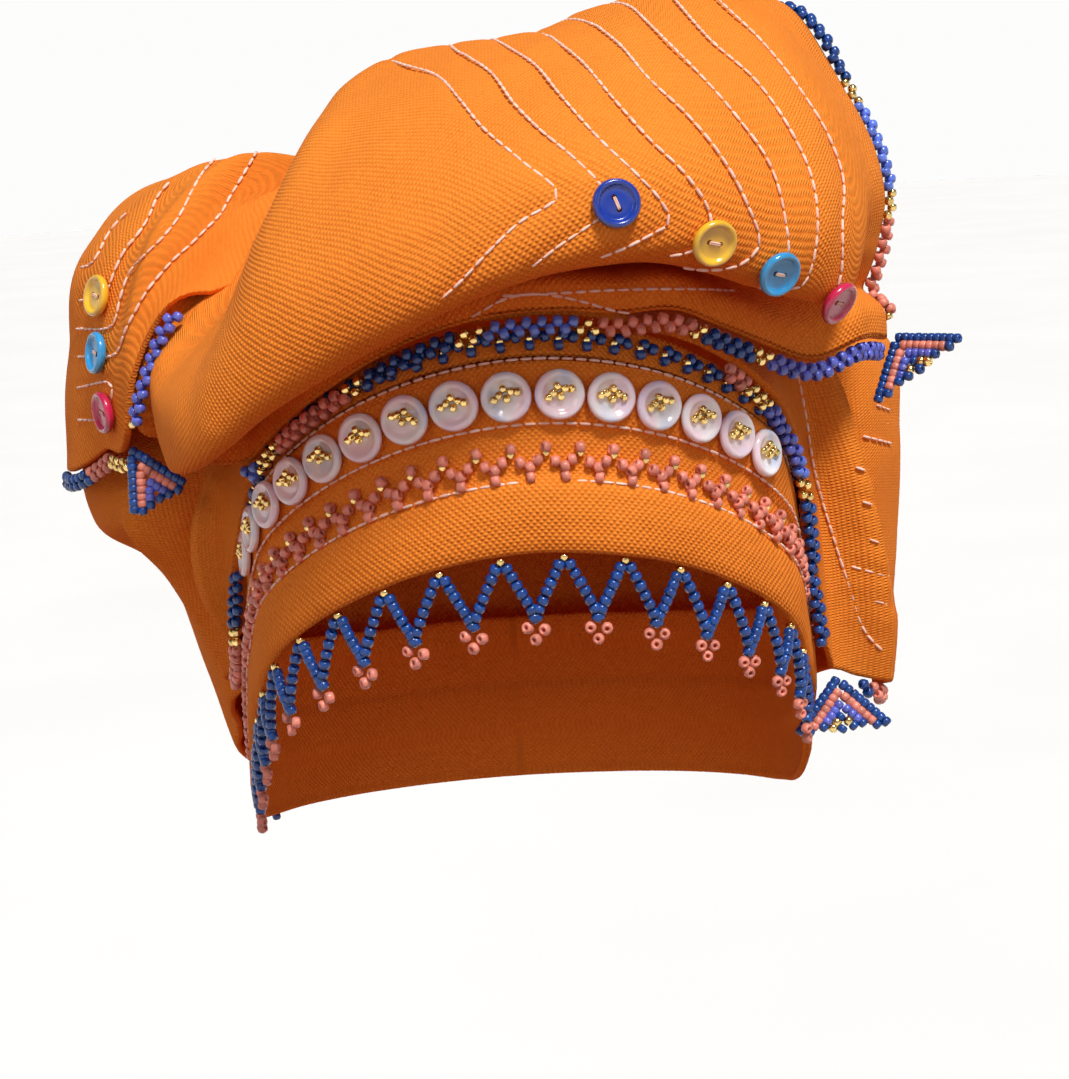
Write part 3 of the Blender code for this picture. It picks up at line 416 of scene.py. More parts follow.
# Stitches and ridge of the lower rear panel
PANEL_LINES = {
    "panel_1": ((876, 405), (892, 411)),
    "panel_2": ((862, 436), (893, 444)),
    "panel_3": ((852, 466), (895, 480)),
    "panel_4": ((858, 500), (895, 512)),
    "panel_5": ((866, 538), (895, 548)),
    "panel_6": ((850, 566), (895, 578)),
    "panel_7": ((873, 600), (893, 606)),
    "ridge": ((797, 372), (806, 420), (814, 470), (831, 530), (850, 588), (868, 636), (884, 652)),
}

# Sewn lines of the band, as shares of its height
BAND_LINES = (0.315, 0.565, 0.845)

# Two-hole buttons and pearl buttons from the back to the face: shares of the half width and thickness
PEARL_SHAPE = (
    (0.0, 0.0), (0.80, 0.0), (0.95, 0.16), (1.0, 0.42), (0.985, 0.68), (0.93, 0.90), (0.86, 1.0),
    (0.76, 0.97), (0.68, 0.84), (0.60, 0.68), (0.45, 0.60), (0.0, 0.56),
)
BUTTON_SHAPE = (
    (0.0, 0.0), (0.78, 0.0), (0.93, 0.20), (1.0, 0.50), (0.98, 0.80), (0.92, 0.97), (0.86, 1.0), (0.80, 0.97),
    (0.74, 0.84), (0.69, 0.64), (0.62, 0.58), (0.40, 0.62), (0.0, 0.64),
)
HOLE_RADIUS, HOLE_APART = 0.00062, 0.00135

# Gold beads on each pearl button, in millimetres across and up from its middle
PEARL_CLUSTER = ((-2.7, 0.2), (-1.45, 0.8), (0.0, 1.9), (1.45, 0.8), (2.7, 0.2), (0.0, -0.5))

# Round seed bead with its hole, and a stitch of thread: shares of the radius and of the length
BEAD_PROFILE = ((0.34, -0.36), (0.58, -0.49), (0.86, -0.42), (1.0, -0.16), (1.0, 0.16), (0.86, 0.42),
                (0.58, 0.49), (0.34, 0.36))
STITCH_PROFILE = ((0.0, -0.52), (0.35, -0.5), (0.85, -0.40), (1.0, -0.2), (1.0, 0.2), (0.85, 0.40),
                  (0.35, 0.5), (0.0, 0.52))

# Fringe: beads in a leg of a zigzag, and the three beads of a tip by their place across and down
LEG_BEADS = 7
TIP_BEADS = ((-0.0019, 0.0022), (0.0019, 0.0016), (0.0002, 0.0044))

# Woven tabs: colours of the layers from outside in, and the gold beads by layer, leg and number
TAB_LAYERS = ("navy", "salmon", "periwinkle", "navy", "navy")
TAB_GOLD = ((3, 0, 1), (3, 0, 2), (3, 1, 1))
TABS = (
    # node, cloth, aim, shift from the cloth's corner, first leg, second leg
    ("wing_tab", "roll", 49.0, (0.0035, 0.002, 0.0010), (0.75, -0.66, 0.0), (-0.40, -0.35, -0.90)),
    ("side_wing_tab", "wing", -52.0, (-0.001, 0.0016, -0.0024), (0.80, -0.20, -0.55), (-0.02, -0.15, -0.98)),
    ("panel_tab", "wrap", 47.0, (0.0, 0.0, -CLEAR - CLOTH / 4), (-0.65, -0.30, -0.72), (0.68, -0.30, -0.64)),
    ("nape_tab", "wrap", -109.0, (-0.002, 0.006, 0.006 - ROPE_RADIUS - 3 * CLEAR), (0.1, 0.6, -0.8),
     (0.1, -0.6, -0.8)),
)

# Canvas: pitch of its threads, how far they wander, and its colours on the threads and between them; the
# darker colour between them is painted shade in the hollows of the weave
THREAD_PITCH = 0.00078
THREAD_WANDER = 1.6
CANVAS_LIGHT = (1.0, 0.315, 0.038, 1.0)
CANVAS_HOLLOW_SHADE = (0.74, 0.145, 0.008, 1.0)

# Looks of the glass beads and colours of the plastic buttons
BEAD_LOOKS = {
    # colour, roughness, metal, coat
    "navy": ((0.002, 0.052, 0.27), 0.30, 0.0, 0.22),
    "periwinkle": ((0.10, 0.13, 0.60), 0.30, 0.0, 0.35),
    "sky": ((0.10, 0.20, 0.78), 0.28, 0.0, 0.4),
    "salmon": ((0.74, 0.24, 0.17), 0.42, 0.0, 0.15),
    "gold": ((0.86, 0.58, 0.22), 0.22, 1.0, 0.0),
}
BUTTON_COLOURS = {
    "navy": (0.008, 0.045, 0.40),
    "yellow": (0.94, 0.56, 0.03),
    "sky": (0.03, 0.36, 0.78),
    "rose": (0.62, 0.015, 0.09),
}

# Tones of pearl, thread, worn cloth and floor: share of the noise, and the colour there
PEARL_TONES = ((0.30, (0.60, 0.70, 1.0, 1)), (0.44, (0.96, 0.94, 1.0, 1)), (0.56, (1.0, 0.78, 0.88, 1)),
               (0.70, (0.82, 0.76, 1.0, 1)))
THREAD_TONES = ((0.3, (0.86, 0.50, 0.38, 1)), (0.7, (0.98, 0.76, 0.66, 1)))
WEAR_TONES = ((0.3, (0.90, 0.84, 0.80, 1)), (0.7, (1.0, 1.0, 1.0, 1)))
FLOOR_TONES = ((0.3, (0.90, 0.90, 0.90, 1)), (0.7, (0.93, 0.93, 0.93, 1)))

# Light from the world: share of the way from straight down to straight up, and its colour there
WORLD_TONES = ((0.44, (0.24, 0.065, 0.028, 1)), (0.465, (0.98, 0.98, 0.975, 1)),
               (0.55, (0.98, 0.98, 0.975, 1)), (0.66, (0.18, 0.18, 0.18, 1)))
SUN_PLACE, SUN_POWER, SUN_SPREAD = (0.30, -0.74, 1.20), 3.35, 14.0
SUN_COLOUR = (1.0, 0.985, 0.96)
LAMP_PLACE, LAMP_POWER, LAMP_SIZE = (-0.75, -0.95, 0.65), 1.5, 0.5
LAMP_AIM = (0.0, 0.0, -0.03)
FLOOR_LEVEL, FLOOR_REACH, FLOOR_SIDES = -0.45, 14.0, 96


def unit(vector):
    vector = np.asarray(vector, float)
    return vector / np.linalg.norm(vector)


def clamped(share):
    return min(max(share, 0.0), 1.0)


def eased(share):
    """Share from 0 to 1 with a soft start and end."""
    share = clamped(share)
    return share * share * (3 - 2 * share)


def run_along(line):
    """Distance from a line's start to each of its points."""
    return np.concatenate(([0.0], np.cumsum(np.linalg.norm(np.diff(line, axis=0), axis=1))))


def spot_on(line, run, spot):
    """Point of a line at a distance from its start."""
    return np.array([np.interp(spot, run, column) for column in np.asarray(line).T])


def smooth_columns(knots, rows, where):
    """Smooth curve through table rows: cubic pieces with slopes weighted by the nearer gap."""
    knots = np.asarray(knots, float)
    rows = np.asarray(rows, float)
    gaps = np.diff(knots)
    rates = np.diff(rows, axis=0) / gaps[:, None]
    slopes = np.empty_like(rows)
    slopes[0], slopes[-1] = rates[0], rates[-1]
    weight = (gaps[:-1] + gaps[1:])[:, None]
    slopes[1:-1] = (rates[:-1] * gaps[1:, None] + rates[1:] * gaps[:-1, None]) / weight
    cell = int(np.clip(np.searchsorted(knots, where, side="right") - 1, 0, len(gaps) - 1))
    u = (where - knots[cell]) / gaps[cell]
    start = (2 * u**3 - 3 * u**2 + 1) * rows[cell] + (u**3 - 2 * u**2 + u) * gaps[cell] * slopes[cell]
    end = (3 * u**2 - 2 * u**3) * rows[cell + 1] + (u**3 - u**2) * gaps[cell] * slopes[cell + 1]
    return start + end


def mirrored(table, odd):
    """Table over turns 0 to 180, with one row more beyond each end so that it runs on smoothly."""
    before = (-table[1][0],) + tuple(v * s for v, s in zip(table[1][1:], odd))
    after = (360 - table[-2][0],) + tuple(v * s for v, s in zip(table[-2][1:], odd))
    rows = (before,) + tuple(table) + (after,)
    return [row[0] for row in rows], [row[1:] for row in rows]


PLAN_TURNS, PLAN_SHARES = mirrored(PLAN, (-1, 1))
RIM_TURNS, RIM_SHARES = mirrored(RIM, (1,))
BAND_HEIGHTS, BAND_TAPERS, BAND_RISES = zip(*BAND_SECTION)


def plan_point(turn):
    """Point of the band's outline in plan."""
    across, along = smooth_columns(PLAN_TURNS, PLAN_SHARES, abs(turn))
    return np.array([math.copysign(across, turn) * BAND_HALF_WIDTH, -along * BAND_HALF_LENGTH])


def rim_height(turn):
    share = smooth_columns(RIM_TURNS, RIM_SHARES, abs(turn))[0]
    return -(BROW_DROP + (NAPE_DROP - BROW_DROP) * share)


def wrapped(turn):
    return (turn + 180.0) % 360.0 - 180.0


def plan_outward(turn):
    along = plan_point(wrapped(turn + 0.5)) - plan_point(wrapped(turn - 0.5))
    return np.array([-along[1], along[0]]) / -np.hypot(*along)


def band_outward(turn):
    return np.append(plan_outward(turn), 0.0)


RING_TURNS = np.arange(-180.0, 180.5, 1.0)
RING_POINTS = np.array([plan_point(turn) for turn in RING_TURNS])
RING_AIMS = np.degrees(np.unwrap(np.arctan2(RING_POINTS[:, 0], GATHER_BACK - RING_POINTS[:, 1])))
RING_AIMS -= RING_AIMS[len(RING_AIMS) // 2]
RING_REACH = np.hypot(RING_POINTS[:, 0], RING_POINTS[:, 1] - GATHER_BACK)


def band_reach(aim):
    """Distance of the band's outline from the gathering axis."""
    return float(np.interp(wrapped(aim), RING_AIMS, RING_REACH))


def band_turn(aim):
    return float(np.interp(wrapped(aim), RING_AIMS, RING_TURNS))


def away_from_axis(aim):
    angle = math.radians(aim)
    return np.array([math.sin(angle), -math.cos(angle), 0.0])


def round_axis(aim, reach, height):
    return away_from_axis(aim) * reach + np.array([0.0, GATHER_BACK, height])


def band_point(turn, height, lift=0.0):
    """Point of the band's outer face, at a share of its height above the rim."""
    taper = float(np.interp(height, BAND_HEIGHTS, BAND_TAPERS))
    rise = float(np.interp(height, BAND_HEIGHTS, BAND_RISES)) * PLEAT_RISE
    flat = plan_point(turn) * taper + plan_outward(turn) * (rise + lift)
    return np.array([flat[0], flat[1], rim_height(turn) + height * BAND_HEIGHT])


def band_line(turns, level, lift=0.0):
    return np.array([band_point(turn, level, lift) for turn in turns])


def seat_on_band(aim, level, stand):
    """Reach and height of a cloth edge that stands off the band, with room for its bead rope."""
    guess = aim
    for _ in range(3):
        place = band_point(band_turn(guess), level)
        guess += wrapped(aim - math.degrees(math.atan2(place[0], GATHER_BACK - place[1])))
    slant = band_outward(band_turn(guess)) @ away_from_axis(aim)
    near = np.interp(np.linspace(level - 0.14, level, 8), BAND_HEIGHTS, BAND_RISES)
    pleat = PLEAT_RISE * (float(near.max()) - float(near[-1]))
    lift = (ROPE_RADIUS + 2 * CLEAR + pleat + stand * ROLL_RISE) / slant
    return math.hypot(place[0], GATHER_BACK - place[1]) + lift, place[2]


def stepped(make, step=0.25):
    """A section read from steps of a quarter degree, with the values between them blended."""
    kept = {}

    def read(aim):
        low = math.floor(aim / step)
        for key in (low, low + 1):
            if key not in kept:
                kept[key] = np.array(make(key * step), float)
        share = aim / step - low
        return kept[low] * (1 - share) + kept[low + 1] * share

    return read


def table_at(table, aim):
    """A table's columns at an aim, and the band's reach and rim height there."""
    shares = smooth_columns([row[0] for row in table], [row[1:] for row in table], aim)
    return shares, band_reach(aim), rim_height(band_turn(aim))


def over_band(shares, reach, rim):
    """Places of a section from pairs of shares: reach, and rise over the band's top edge."""
    base = rim + BAND_HEIGHT
    return [(far * reach, base + rise * ROLL_RISE) for far, rise in zip(shares[::2], shares[1::2])]


@stepped
def wrap_section(aim):
    shares, reach, rim = table_at(WRAP, wrapped(aim))
    section = [seat_on_band(aim, shares[0], shares[1])]
    section += [(shares[2 * k] * reach, rim * (1 - shares[2 * k + 1])) for k in range(1, 5)]
    return section + [(0.0, CLOTH / 2)]


@stepped
def roll_section(aim):
    shares, reach, rim = table_at(ROLL, aim)
    section = [seat_on_band(aim, shares[0] + rise, shares[1]) for rise in (0.0, FOOT_RISE)]
    return section + over_band(shares[2:16], reach, rim) + [(shares[16] * reach, 2 * CLOTH + 2 * CLEAR)]


@stepped
def wing_section(aim):
    shares, reach, rim = table_at(SIDE_WING, aim)
    return over_band(shares[:10], reach, rim) + [(shares[10] * reach, 4 * (CLOTH + CLEAR))]


def fold_rise(fold, aim, place, width=1.0):
    """Rise of one hanging fold, its half width multiplied by a factor."""
    top, hem, half, rise, start, stop = fold
    away = wrapped(aim - hem - (top - hem) * place) / (half * width)
    span = clamped((place - start) / (stop - start))
    return FOLD_DEPTH * rise * math.exp(-away * away) * math.sin(math.pi * span) ** 0.7


def wrap_point(aim, place):
    """Mid face of the wound cloth: aim round the gathering axis, place from hem 0 to crown 1."""
    out, height = smooth_columns(WRAP_KNOTS, wrap_section(aim), place)
    out += sum(fold_rise(fold, aim, place) for fold in WRAP_FOLDS)
    return round_axis(aim, max(out, 0.0), height)


def sharper_wrap_point(aim, place):
    """The wound cloth with its seen folds drawn sharper than in the solid."""
    seen = [fold for fold in WRAP_FOLDS if SHARP_AIMS[0] < fold[1] < SHARP_AIMS[1]]
    sharper = sum(fold_rise(fold, aim, place, SHARP_WIDTH) for fold in seen)
    return wrap_point(aim, place) + away_from_axis(aim) * SHARP_RISE * sharper


def leaned_wrap_point(aim, place):
    """The wound cloth on grid lines that lean with its folds, so that a fold keeps its line."""
    return sharper_wrap_point(aim + np.interp(aim, LEAN_AIMS, LEANS) * (1 - place), place)


def roll_point(aim, place):
    """Mid face of the front roll: place runs from the beaded edge over the top to the back edge."""
    out, height = smooth_columns(ROLL_KNOTS, roll_section(aim), place)
    return round_axis(aim, out, height)


def met_roll_point(aim, place):
    """The front roll, its left end let out to the side wing's inner face, so that no slit shows."""
    point = roll_point(aim, place)
    share = clamped((MET_AIM - aim) / MET_WIDTH)
    if share == 0.0 or not MET_FROM < place < MET_TO:
        return point
    wing = [smooth_columns(WING_KNOTS, wing_section(aim), spot) for spot in np.linspace(0.0, 0.72, 25)]
    reach, height = np.array(wing)[:int(np.argmax([row[1] for row in wing])) + 1].T
    if point[2] > height[-1]:
        return point
    out = math.hypot(point[0], point[1] - GATHER_BACK)
    room = float(np.interp(point[2], height, reach)) - out - LAY
    under = (point[2] - height[0]) / 0.014 + 1.0
    for fade in (share, under, (place - MET_FROM) / 0.10, (MET_TO - place) / 0.16):
        room *= eased(fade)
    return round_axis(aim, out + max(room, 0.0), point[2])


def face_normal(face, aim, place):
    """Outward direction of a cloth's mid face."""
    along = face(aim + 1, place) - face(aim - 1, place)
    up = face(aim, place + 0.01) - face(aim, place - 0.01)
    return unit(np.cross(along, up))


def laid_spot(aim, place):
    """Place of the roll's section over which a place of the side wing lies."""
    start = float(np.interp(aim, (LAID_AIMS[1], WING_END), LAID_FROM))
    return start + (LAID_TO - start) * place


def wing_point(aim, place):
    """Mid face of the side wing: place runs from the hem over the top to the back edge."""
    out, height = smooth_columns(WING_KNOTS, wing_section(aim), place)
    free = round_axis(aim, out, height)
    settled = eased((aim - LAID_AIMS[0]) / (LAID_AIMS[1] - LAID_AIMS[0]))
    if settled == 0.0:
        return free
    spot = laid_spot(aim, place)
    away = (aim - SWELL_AIM) / SWELL_WIDTH
    swell = LAID_SWELL * math.exp(-away * away) * math.sin(math.pi * place) ** 2
    side = np.cross(UP, away_from_axis(aim))
    outward = face_normal(roll_point, aim, spot)
    outward = outward - side * np.dot(outward, side)
    share = np.linalg.norm(outward)
    laid = roll_point(aim, spot) + outward / share * (LAY / share + swell)
    return free * (1 - settled) + laid * settled


def sunk_wing_point(aim, place):
    """The side wing, its far edge let into the roll's cloth so that the two read as one."""
    point = wing_point(aim, place)
    sink = eased((aim - SINK_AIM) / SINK_WIDTH)
    if sink == 0.0:
        return point
    spot = laid_spot(aim, place)
    base = roll_point(aim, spot) - face_normal(roll_point, aim, spot) * CLOTH * SINK_DEPTH
    return point * (1 - sink) + base * sink


def grid_of(face, aims, places):
    return np.array([[face(aim, place) for place in places] for aim in aims])


def grid_normals(grid, closed):
    if closed:
        along = np.roll(grid, -1, axis=0) - np.roll(grid, 1, axis=0)
    else:
        along = np.gradient(grid, axis=0)
    normals = np.cross(along, np.gradient(grid, axis=1))
    return normals / np.maximum(np.linalg.norm(normals, axis=2, keepdims=True), 1e-12)


def quads_between(first, second, loop):
    count = len(first)
    steps = range(count if loop else count - 1)
    return [(first[k], first[(k + 1) % count], second[(k + 1) % count], second[k]) for k in steps]


def fringe_turns():
    """Turns of the fringe's tops and tips, half a pitch apart along the rim."""
    fine = np.linspace(band_turn(FRINGE_AIMS[0]), band_turn(FRINGE_AIMS[1]), 600)
    run = run_along(band_line(fine, 0.0))
    halves = int(run[-1] / (FRINGE_PITCH / 2))
    halves -= halves % 2
    return [float(np.interp(k * FRINGE_PITCH / 2, run, fine)) for k in range(halves + 1)]


def pearl_row():
    """Turns of the pearl buttons, evenly spaced along the band, and the width left for each."""
    fine = np.linspace(band_turn(PEARL_AIMS[0]), band_turn(PEARL_AIMS[1]), 500)
    run = run_along(band_line(fine, PEARL_LEVEL))
    pitch = run[-1] / (PEARL_COUNT - 1)
    return [float(np.interp(k * pitch, run, fine)) for k in range(PEARL_COUNT)], pitch - PEARL_GAP


def edge_line(edge, inner):
    """Centre line of a bead rope: it runs beside a sheet's edge, clear of the edge's corners."""
    edge = np.array(edge)
    along = np.gradient(edge, axis=0)
    along /= np.linalg.norm(along, axis=1, keepdims=True)
    away = edge - np.array(inner)
    away -= along * np.sum(away * along, axis=1, keepdims=True)
    away /= np.linalg.norm(away, axis=1, keepdims=True)
    return edge + away * (ROPE_RADIUS + CLEAR + CLOTH * 0.2)


def along_hem(face, start, stop, count, seated=True):
    """Rope line under a hem, at the hem's own distance from the band or in the cloth's face."""
    edge, inner = [], []
    for aim in np.linspace(start, stop, count):
        edge.append(face(aim, 0.0))
        outward = band_outward(band_turn(aim)) if seated else face_normal(face, aim, 0.03)
        ahead = face(aim + HEM_STEP, 0.0) - face(aim - HEM_STEP, 0.0)
        inner.append(edge[-1] + np.cross(outward, ahead) * 3)
    return edge_line(edge, inner)


def along_side(face, aim, inward, start, stop, count):
    places = np.linspace(start, stop, count)
    return edge_line([face(aim, place) for place in places], [face(aim + inward, place) for place in places])


class Nodes:
    """Short hand for building the nodes of a material or of the world."""

    def __init__(self, owner):
        owner.use_nodes = True
        self.owner = owner
        self.tree = owner.node_tree

    def add(self, kind, **values):
        node = self.tree.nodes.new(kind)
        for key, value in values.items():
            setattr(node, key, value)
        return node

    def fill(self, sockets, values):
        """Gives each socket its number or colour, or joins it to another node's output."""
        for socket, value in zip(sockets, values):
            if isinstance(value, (int, float, tuple)):
                socket.default_value = value
            else:
                self.tree.links.new(value, socket)

    def place(self, kind="Object"):
        return self.add("ShaderNodeTexCoord").outputs[kind]

    def split(self, vector):
        node = self.add("ShaderNodeSeparateXYZ")
        self.fill(node.inputs, (vector,))
        return node.outputs

    def math(self, operation, *values):
        node = self.add("ShaderNodeMath", operation=operation)
        self.fill(node.inputs, values)
        return node.outputs[0]

    def noise(self, vector, scale, detail=2.0, rough=0.5):
        node = self.add("ShaderNodeTexNoise")
        sockets = [node.inputs[name] for name in ("Vector", "Scale", "Detail", "Roughness")]
        self.fill(sockets, (vector, scale, detail, rough))
        return node.outputs["Fac"]

    def ramp(self, value, stops):
        node = self.add("ShaderNodeValToRGB")
        band = node.color_ramp
        while len(band.elements) < len(stops):
            band.elements.new(0.5)
        for element, (place, colour) in zip(band.elements, stops):
            element.position = place
            element.color = colour
        self.fill(node.inputs, (value,))
        return node.outputs["Color"]

    def multiplied(self, share, first, second):
        node = self.add("ShaderNodeMix", data_type="RGBA", blend_type="MULTIPLY")
        self.fill((node.inputs[0], node.inputs[6], node.inputs[7]), (share, first, second))
        return node.outputs[2]

    def bump(self, height, strength, distance, *under):
        node = self.add("ShaderNodeBump")
        sockets = [node.inputs[name] for name in ("Height", "Strength", "Distance", "Normal")]
        self.fill(sockets, (height, strength, distance) + under)
        return node.outputs["Normal"]

    def finish(self, **values):
        """The material, its shader's inputs named with underscores for spaces."""
        inputs = self.tree.nodes["Principled BSDF"].inputs
        self.fill([inputs[name.replace("_", " ")] for name in values], values.values())
        return self.owner


def new_material(name):
    made = Nodes(bpy.data.materials.new(name))
    return made, made.place()


def canvas_material():
    """Coarse plain weave, its threads following the cloth's own run, with slubs and soft wear, and painted
    shade that darkens the hollows between its threads.
    """
    made, place = new_material("orange_canvas")
    run = made.split(made.add("ShaderNodeUVMap", uv_map="run").outputs["UV"])
    wander = made.math("SUBTRACT", made.noise(place, 230.0), 0.5)
    wander = made.math("MULTIPLY", wander, THREAD_WANDER)
    warp, weft = [made.math("SINE", made.math("MULTIPLY_ADD", run[axis], math.pi / THREAD_PITCH, wander))
                  for axis in (0, 1)]
    over = made.math("MULTIPLY_ADD", made.math("MULTIPLY", warp, weft), 0.5, 0.10)
    ribs = made.math("MULTIPLY_ADD", warp, warp, made.math("MULTIPLY", weft, weft))
    weave = made.math("MULTIPLY_ADD", ribs, 0.24, over)
    height = made.math("MULTIPLY_ADD", made.noise(place, 800.0, 3.0, 0.7), 0.6, weave)
    # Low places of the weave take the darker colour: painted shade in the hollows between threads, with the
    # slubs shifting the tone as well
    between = tuple(0.4 * deep + 0.6 * light for deep, light in zip(CANVAS_HOLLOW_SHADE, CANVAS_LIGHT))
    tone = made.ramp(height, ((0.10, CANVAS_HOLLOW_SHADE), (0.42, between), (0.8, CANVAS_LIGHT)))
    cloud = made.ramp(made.noise(place, 16.0, 3.0), WEAR_TONES)
    worn = made.bump(made.noise(place, 70.0, 3.0), 0.25, 0.004)
    return made.finish(Base_Color=made.multiplied(0.8, tone, cloud),
                       Normal=made.bump(height, 0.6, 0.0006, worn), Roughness=0.86, Specular_IOR_Level=0.15)


def bead_material(name):
    made, place = new_material("bead_" + name)
    colour, roughness, metal, coat = BEAD_LOOKS[name]
    dim = tuple(v * 0.72 for v in colour) + (1.0,)
    lit = tuple(min(v * 1.25, 1.0) for v in colour) + (1.0,)
    return made.finish(Base_Color=made.ramp(made.noise(place, 330.0, 1.0), ((0.3, dim), (0.7, lit))),
                       Normal=made.bump(made.noise(place, 1500.0), 0.12, 0.0004), Roughness=roughness,
                       Metallic=metal, Coat_Weight=coat, Coat_Roughness=0.12)


def pearl_material():
    made, place = new_material("pearl_shell")
    return made.finish(Base_Color=made.ramp(made.noise(place, 95.0), PEARL_TONES),
                       Normal=made.bump(made.noise(place, 420.0), 0.10, 0.0006), Roughness=0.14,
                       Subsurface_Weight=0.25, Subsurface_Radius=(0.002, 0.0015, 0.0015), Coat_Weight=0.8,
                       Coat_Roughness=0.08, Sheen_Weight=0.15)


def plastic_material(name):
    made, place = new_material("button_" + name)
    dim = tuple(v * 0.8 for v in BUTTON_COLOURS[name]) + (1.0,)
    stops = ((0.35, dim), (0.65, BUTTON_COLOURS[name] + (1.0,)))
    return made.finish(Base_Color=made.ramp(made.noise(place, 180.0), stops),
                       Normal=made.bump(made.noise(place, 700.0), 0.08, 0.0004), Roughness=0.24,
                       Coat_Weight=0.5, Coat_Roughness=0.1)


def thread_material():
    made, place = new_material("sewing_thread")
    return made.finish(Base_Color=made.ramp(made.noise(place, 500.0), THREAD_TONES),
                       Normal=made.bump(made.noise(place, 2600.0), 0.4, 0.0003), Roughness=0.6)


def placed(name, data, place=(0.0, 0.0, 0.0)):
    made = bpy.data.objects.new(name, data)
    made.location = place
    bpy.context.scene.collection.objects.link(made)
    return made


def mesh_object(name, points, faces, materials, kinds=None, smooth=True):
    mesh = bpy.data.meshes.new(name)
    mesh.from_pydata([tuple(point) for point in points], [], [tuple(int(i) for i in face) for face in faces])
    for one in materials:
        mesh.materials.append(one)
    if kinds is not None:
        mesh.polygons.foreach_set("material_index", np.asarray(kinds, dtype=np.int32))
    if smooth:
        mesh.shade_smooth()
    mesh.update()
    return placed(name, mesh)


def faces_outward(made):
    work = bmesh.new()
    work.from_mesh(made.data)
    bmesh.ops.recalc_face_normals(work, faces=work.faces)
    if work.calc_volume(signed=True) < 0:
        bmesh.ops.reverse_faces(work, faces=work.faces)
    work.to_mesh(made.data)
    work.free()
    made.data.shade_smooth()


def camera_axes():
    yaw, rise, roll = (math.radians(v) for v in (CAMERA_YAW, CAMERA_RISE, CAMERA_ROLL))
    back = np.array([math.sin(yaw) * math.cos(rise), -math.cos(yaw) * math.cos(rise), math.sin(rise)])
    right = unit(np.cross(UP, back))
    up = np.cross(back, right)
    return right * math.cos(roll) + up * math.sin(roll), up * math.cos(roll) - right * math.sin(roll), back


CAMERA_RIGHT, CAMERA_UP, CAMERA_BACK = camera_axes()
CAMERA_PLACE = np.array(CAMERA_AIM) + CAMERA_BACK * CAMERA_DISTANCE


def pixel_of(point):
    away = np.asarray(point) - CAMERA_PLACE
    deep = -away @ CAMERA_BACK
    return np.array([PHOTO_WIDE / 2 + CAMERA_FOCUS * (away @ CAMERA_RIGHT) / deep,
                     PHOTO_HIGH / 2 - CAMERA_FOCUS * (away @ CAMERA_UP) / deep])


def sight_line(x, y):
    return unit((x - PHOTO_WIDE / 2) * CAMERA_RIGHT - (y - PHOTO_HIGH / 2) * CAMERA_UP
                - CAMERA_FOCUS * CAMERA_BACK)


def make_camera():
    data = bpy.data.cameras.new("camera")
    data.sensor_width, data.sensor_fit = SENSOR, "AUTO"
    data.lens = CAMERA_FOCUS * SENSOR / PHOTO_HIGH
    data.clip_start, data.clip_end = 0.01, 60.0
    made = placed("camera", data)
    axes = np.column_stack((CAMERA_RIGHT, CAMERA_UP, CAMERA_BACK, CAMERA_PLACE))
    made.matrix_world = Matrix(axes.tolist() + [[0, 0, 0, 1]])
    bpy.context.scene.camera = made


def make_light(name, kind, place, target, power):
    data = bpy.data.lights.new(name, kind)
    data.energy = power
    made = placed(name, data, place)
    made.rotation_euler = (Vector(target) - made.location).to_track_quat("-Z", "Y").to_euler()
    return data


def make_floor():
    points, _ = turned(((FLOOR_REACH, FLOOR_LEVEL),), FLOOR_SIDES)
    paint, place = new_material("floor_paint")
    tone = paint.ramp(paint.noise(place, 3.0), FLOOR_TONES)
    material = paint.finish(Base_Color=tone, Roughness=0.9)
    floor = mesh_object("floor", points, [tuple(range(FLOOR_SIDES))], [material], smooth=False)
    floor.visible_diffuse = False


def make_studio():
    world = Nodes(bpy.data.worlds.new("studio"))
    share = world.math("MULTIPLY_ADD", world.split(world.place("Generated"))[2], 0.5, 0.5)
    sky = world.tree.nodes["Background"].inputs
    world.fill((sky["Color"], sky["Strength"]), (world.ramp(share, WORLD_TONES), 1.0))
    bpy.context.scene.world = world.owner
    bpy.context.scene.view_settings.view_transform = "Standard"
    sun = make_light("key_light", "SUN", SUN_PLACE, (0.0, 0.0, 0.0), SUN_POWER)
    sun.angle, sun.color = math.radians(SUN_SPREAD), SUN_COLOUR
    lamp = make_light("left_light", "AREA", LAMP_PLACE, LAMP_AIM, LAMP_POWER)
    lamp.shape, lamp.size = "DISK", LAMP_SIZE
    make_floor()


def turned(profile, sides, loop=False):
    """Body turned round +Z from its profile, lower end first. A radius of zero is a single point."""
    points, rings = [], []
    for radius, height in profile:
        count = sides if radius else 1
        rings.append(list(range(len(points), len(points) + count)) * (sides // count))
        points += [(radius * math.cos(math.tau * k / sides), radius * math.sin(math.tau * k / sides), height)
                   for k in range(count)]
    faces = []
    for low, high in zip(rings, rings[1:] + rings[:1] * loop):
        faces += [tuple(dict.fromkeys(quad)) for quad in quads_between(low, high, True)]
    return np.array(points), faces


BEAD_SHAPE = turned(BEAD_PROFILE, 10, loop=True)
STITCH_SHAPE = turned(STITCH_PROFILE, 8)


def copies(name, shape, rows, materials):
    """One mesh of many copies. Rows: place, axis, radius, length, material number."""
    shape_points, shape_faces = shape
    points, faces, kinds = [], [], []
    for place, axis, radius, length, kind in rows:
        axis = unit(axis)
        side = unit(np.cross(UP if abs(axis[2]) < 0.9 else (1.0, 0.0, 0.0), axis))
        turn = np.array([side, np.cross(axis, side), axis])
        start = len(points) * len(shape_points)
        points.append(shape_points * (radius, radius, length) @ turn + place)
        faces += [[start + k for k in face] for face in shape_faces]
        kinds += [kind] * len(shape_faces)
    return mesh_object(name, np.concatenate(points), faces, materials, kinds)


